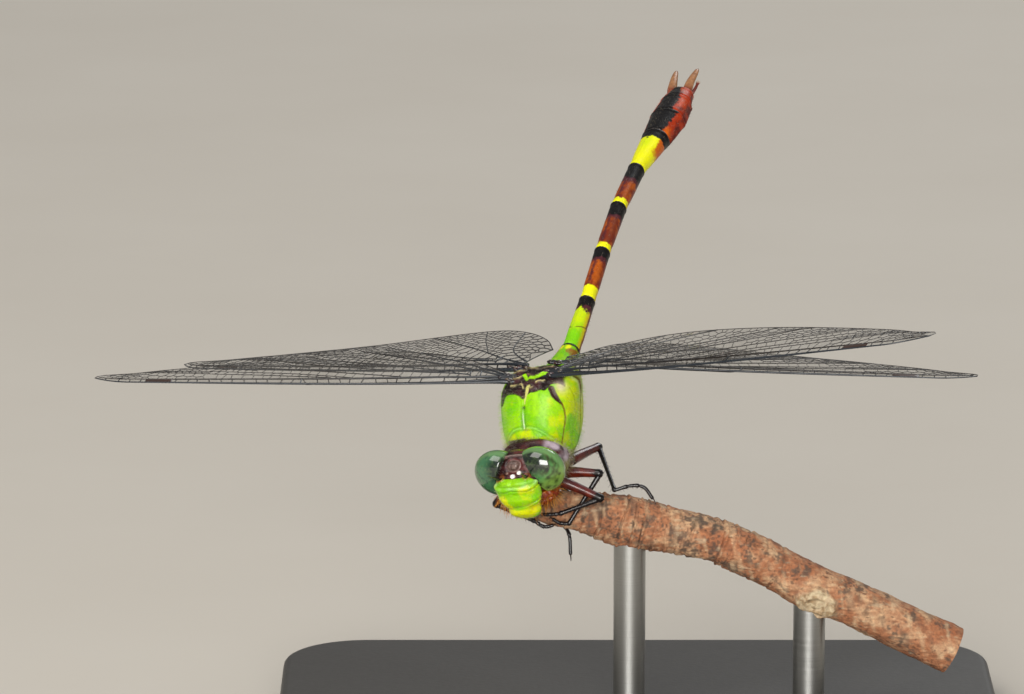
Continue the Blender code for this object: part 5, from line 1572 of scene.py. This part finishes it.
leg_finish = new_finish("lacquered_leg", THIGH_BROWN, 0.26, Specular_IOR_Level=0.3,
                        Coat_Weight=0.35, Coat_Roughness=0.08)
surface = Nodes(leg_finish)
surface.mottle(0.35, surface.noise(3600.0), (0.3, (0.3,) * 3), (0.72, (0.74, 0.72, 0.72)))
surface.dull(surface.noise(1700.0), 0.18, 0.38)
surface.bump(surface.noise(7000.0, 4.0), 0.00002, 0.6)
for leg_number, (name, route) in enumerate(LEG_ROUTES.items()):
    draw = np.random.default_rng(800 + leg_number)
    hip, knee, ankle = (np.array(spot) for spot in route[:3])
    leg = Shape()
    share = np.linspace(0, 1, 60)
    start = hip - unit(knee - hip) * 0.45
    line = start + np.outer(share, knee - start)
    line += np.outer(np.sin(pi * share) * 0.06, (0, 0, 1))
    radii = 0.46 - 0.15 * ramp_up(share, 0.05, 0.95)
    radii = radii * (1 - 0.18 * hill(share - 0.16, 0.03) + 0.06 * hill(share - 0.97, 0.05))
    points, faces = tube(line, radii, 26, flatten=0.92)
    tone_share = np.concatenate([np.zeros(52), np.repeat(share, 26), np.ones(52), [0, 1]])
    # painted sheen: the top side of each thigh is washed lilac
    sheen_top = ramp_up(points[:, 2] - np.interp(tone_share, share, line[:, 2]), 0.05, 0.3)
    tone = brushed(
        blend(ramp_up(lumps(points, 0.4, 111), -0.3, 0.6), THIGH_BROWN, "64200f"),
        (0.25 * sheen_top, THIGH_LILAC_SHEEN),
        (ramp_up(tone_share + 0.05 * lumps(points, 0.2, 112), 0.84, 0.93), KNEE_BLACK),
        (0.5 * hill(tone_share - 0.16, 0.03), KNEE_BLACK))
    leg.add((points, faces), tone)
    knee_line = np.array([knee - unit(knee - start) * 0.16, knee,
                          knee + unit(ankle - knee) * 0.2])
    leg.add(tube(knee_line, (0.25, 0.28, 0.2), 18), KNEE_BLACK)
    share = np.linspace(0, 1, 50)
    shin_line = knee + np.outer(share, ankle - knee)
    shin_radii = 0.19 - 0.045 * ramp_up(share, 0, 0.7) + 0.03 * hill(share - 0.98, 0.05)
    leg.add(tube(shin_line, shin_radii, 16), "151113")
    foot = np.array(route[2:])
    foot_points, foot_radii = smooth_route(foot, np.full(len(foot), 0.125), 50)
    foot_share = np.linspace(0, 1, 50)
    for knot in (0.28, 0.55):
        foot_radii = foot_radii * (1 + 0.22 * hill(foot_share - knot + 0.05, 0.05)
                                   - 0.3 * hill(foot_share - knot, 0.02))
    leg.add(tube(foot_points, foot_radii, 14), "161214")
    forward = unit(foot[-1] - foot[-2])
    spread = unit(np.cross(forward, (0.1, 0.2, 1.0)))
    for side in (-1, 1):
        claw = [foot[-1], foot[-1] + forward * 0.16 + spread * side * 0.07 + (0, 0, 0.03),
                foot[-1] + forward * 0.3 + spread * side * 0.11 - (0, 0, 0.06),
                foot[-1] + forward * 0.34 + spread * side * 0.12 - (0, 0, 0.17)]
        points, radii = smooth_route(claw, (0.05, 0.04, 0.025, 0.008), 14)
        leg.add(tube(points, radii, 8), "2a1a14")
    # Two rows of stiff bristles down the shin, finer ones on thigh and foot.
    shin_way = unit(ankle - knee)
    side_way = unit(np.cross(shin_way, (0.2, -1.0, 0.3)))
    low_way = np.cross(shin_way, side_way)
    bases, tips = [], []
    for row, (lean_side, lean_low) in enumerate(((1, 0.4), (-1, 0.4), (0.2, 1.0), (-0.2, -1.0))):
        for step in np.linspace(0.08, 0.95, 9 if row < 2 else 6):
            spot = knee + (ankle - knee) * (step + draw.uniform(-0.015, 0.015))
            lean = unit(side_way * lean_side + low_way * lean_low)
            reach = draw.uniform(0.3, 0.46) * (1 if row < 2 else 0.6)
            bases.append(spot + lean * 0.08)
            tips.append(spot + lean * 0.1 + (lean * 0.7 + shin_way * 0.75) * reach)
    for step in np.linspace(0.1, 0.92, 14):
        spot = foot_points[int(step * (len(foot_points) - 1))]
        lean = unit(np.array([draw.uniform(-1, 1), draw.uniform(-1, 0.2), -0.8]))
        bases.append(spot + lean * 0.05)
        tips.append(spot + lean * 0.26 + forward * 0.08)
    leg.add(bristles(bases, tips, 0.02), "0e0c0d")
    bases, tips = [], []
    thigh_way = unit(knee - start)
    for step in range(46):
        at_share = draw.uniform(0.2, 0.95)
        spot = start + (knee - start) * at_share
        turn = draw.uniform(0, 2 * pi)
        lean = unit(np.cross(thigh_way, (sin(turn), cos(turn), 0.3)))
        bases.append(spot + lean * 0.24)
        tips.append(spot + lean * 0.42 + thigh_way * 0.1)
    leg.add(bristles(bases, tips, 0.011), "1c1010")
    leg.finish(name + "_jointed", [leg_finish], "black_leg",
               [name + part for part in ("_femur", "_tibia", "_foot")])

# ---------------------------------------------------------------- hairs
# Fine pale hairs stand off the thorax, the neck and the root of the tail, golden
# bristles fringe the jaw, and short dark hairs dust the face and crown. Each is a thin
# bent cone rooted in the skin, given a patch of an unwrap of that skin.
TUFT_PATCH = 0.003
THORAX_HAIRS, TAIL_HAIRS = 5200, 1500


def grow_hairs(name, roots, ways, lengths, radius, droop, unwrap, tones, seed):
    """Makes many bent tapering hairs as one solid mesh, each painted in its own tone."""
    draw = np.random.default_rng(seed)
    count = len(roots)
    ways = unit(ways + draw.normal(0, 0.22, (count, 3)))
    ring = rims(ways, (0.33, 0.51, 0.79), 3)
    rows = []
    for t, thin in ((-0.12, 1.0), (0.35, 0.8), (0.7, 0.55)):
        middle = roots + ways * (lengths * t)[:, None] + droop * (lengths * t * t)[:, None]
        rows.append(middle[:, None] + ring * radius * thin)
    tip = roots + ways * lengths[:, None] + droop * lengths[:, None]
    points = np.concatenate([*rows, tip[:, None]], axis=1)
    base = (np.arange(count) * 10)[:, None]
    quads = np.concatenate([wall(base, 3), wall(base + 3, 3)])
    ends = np.concatenate([points_on(base + 6, 3, 3), base + np.arange(3)[::-1]])
    hair = Shape()
    hair.add((points.reshape(-1, 3), [quads, ends]), np.repeat(tones, 10, axis=0))
    made = hair.finish(name, [hair_finish], "green_cuticle")
    layer = made.data.uv_layers.new(name="OFBake")
    corner = np.array([(0, 0), (1, 0), (0.5, 1), (0, 0.3), (1, 0.3), (0.5, 1), (0.1, 0.6),
                       (0.9, 0.6), (0.5, 0.9), (0.5, 0.5)]) * TUFT_PATCH
    place_uv = (unwrap[:, None] + corner).reshape(-1, 2)
    loops = np.empty(len(made.data.loops), dtype=np.int32)
    made.data.loops.foreach_get("vertex_index", loops)
    layer.data.foreach_set("uv", place_uv[loops].astype(np.float32).ravel())
    return made


hair_finish = new_finish("fine_hair", "d8d0b4", 0.45)
surface = Nodes(hair_finish)
surface.mottle(0.3, surface.noise(2000.0), (0.3, (0.35, 0.35, 0.33)), (0.7, (0.7, 0.7, 0.68)))

draw = np.random.default_rng(901)
skin_out = normals_of(skin, skin_quads)
body_y = body[:, 1]
density = near_thorax * (0.35 + 0.65 * ramp_up(-body_y, -1.5, 1.0)) * (1 - 0.5 * notum)
pick = draw.choice(len(skin), THORAX_HAIRS, replace=False, p=density / density.sum())
lengths = draw.uniform(0.16, 0.42, len(pick)) * (1 + 0.5 * neck_mark[pick])
turned = np.arctan2(body[pick, 0], body[pick, 2]) / (2 * pi) + 0.5
unwrap = np.stack([0.02 + 0.94 * turned, 0.02 + 0.94 * np.clip((body_y[pick] + 4.3) / 9, 0, 1)],
                  axis=1)
tones = blend(draw.uniform(0.55, 0.95, len(pick)), "efe9cf", body_paint[pick])
grow_hairs("thorax_hairs", skin[pick], skin_out[pick], lengths, 0.007,
           np.array([0.0, 0.0, -0.25]), unwrap, tones, 902)

root_density = on_tail * np.where(ring < 4, 0.4, np.where(ring >= 8, 0.25, 0.12))
pick = draw.choice(len(skin), TAIL_HAIRS, replace=False, p=root_density / root_density.sum())
lengths = draw.uniform(0.08, 0.2, len(pick)) * (1 + 0.6 * (ring[pick] < 3))
turned = tail_angle[pick] / (2 * pi) + 0.5
unwrap = np.stack([0.02 + 0.94 * turned, 0.02 + 0.094 * (ring[pick] - 1 + ring_share[pick])], axis=1)
tail_way_back = tail_frames[nearest[pick]][:, :, 1]
tones = blend(draw.uniform(0.3, 0.9, len(pick)), "b8ab92", body_paint[pick])
grow_hairs("tail_hairs", skin[pick], skin_out[pick] + 0.8 * tail_way_back, lengths, 0.006,
           np.zeros(3), unwrap, tones, 903)

head_out = normals_of(head, head_quads)
head_world = placed(HEAD, head)
head_ways = head_out @ HEAD[:3, :3].T
hy, hz = head.T[1:]
on_jaw = ramp_up(-hz, 1.35, 1.6) * ramp_up(hy, -1.3, -1.1) * (hy < 0.9)
on_face = ramp_up(-hy, 1.35, 1.6)
on_crown = (1 - ramp_up(-hy, 1.32, 1.5)) * ramp_up(hz, 0.1, 0.4)
for name, weight, count, low, high, radius, first, second, seed in (
        ("jaw_bristles", on_jaw, 560, 0.35, 0.85, 0.016, "e8a040", "8a4a14", 911),
        ("face_hairs", on_face, 900, 0.06, 0.16, 0.005, "d8dca0", "5a5a20", 912),
        ("crown_hairs", on_crown, 420, 0.14, 0.36, 0.008, "8c7a70", "241618", 913)):
    draw = np.random.default_rng(seed)
    pick = draw.choice(len(head), count, replace=False, p=weight / weight.sum())
    lengths = draw.uniform(low, high, count)
    turned = np.arctan2(head[pick, 0], head[pick, 2]) / (2 * pi) + 0.5
    unwrap = np.stack([0.02 + 0.94 * turned, 0.02 + 0.94 * np.clip((head[pick, 1] + 2.8) / 4.4, 0, 1)],
                      axis=1)
    tones = blend(draw.uniform(0, 1, count), first, second)
    ways = head_ways[pick] + (np.array([0, -0.7, -0.4]) if name == "jaw_bristles" else 0)
    grow_hairs(name, head_world[pick], ways, lengths, radius, np.array([0.0, 0.0, -0.2]),
               unwrap, tones, seed + 10)
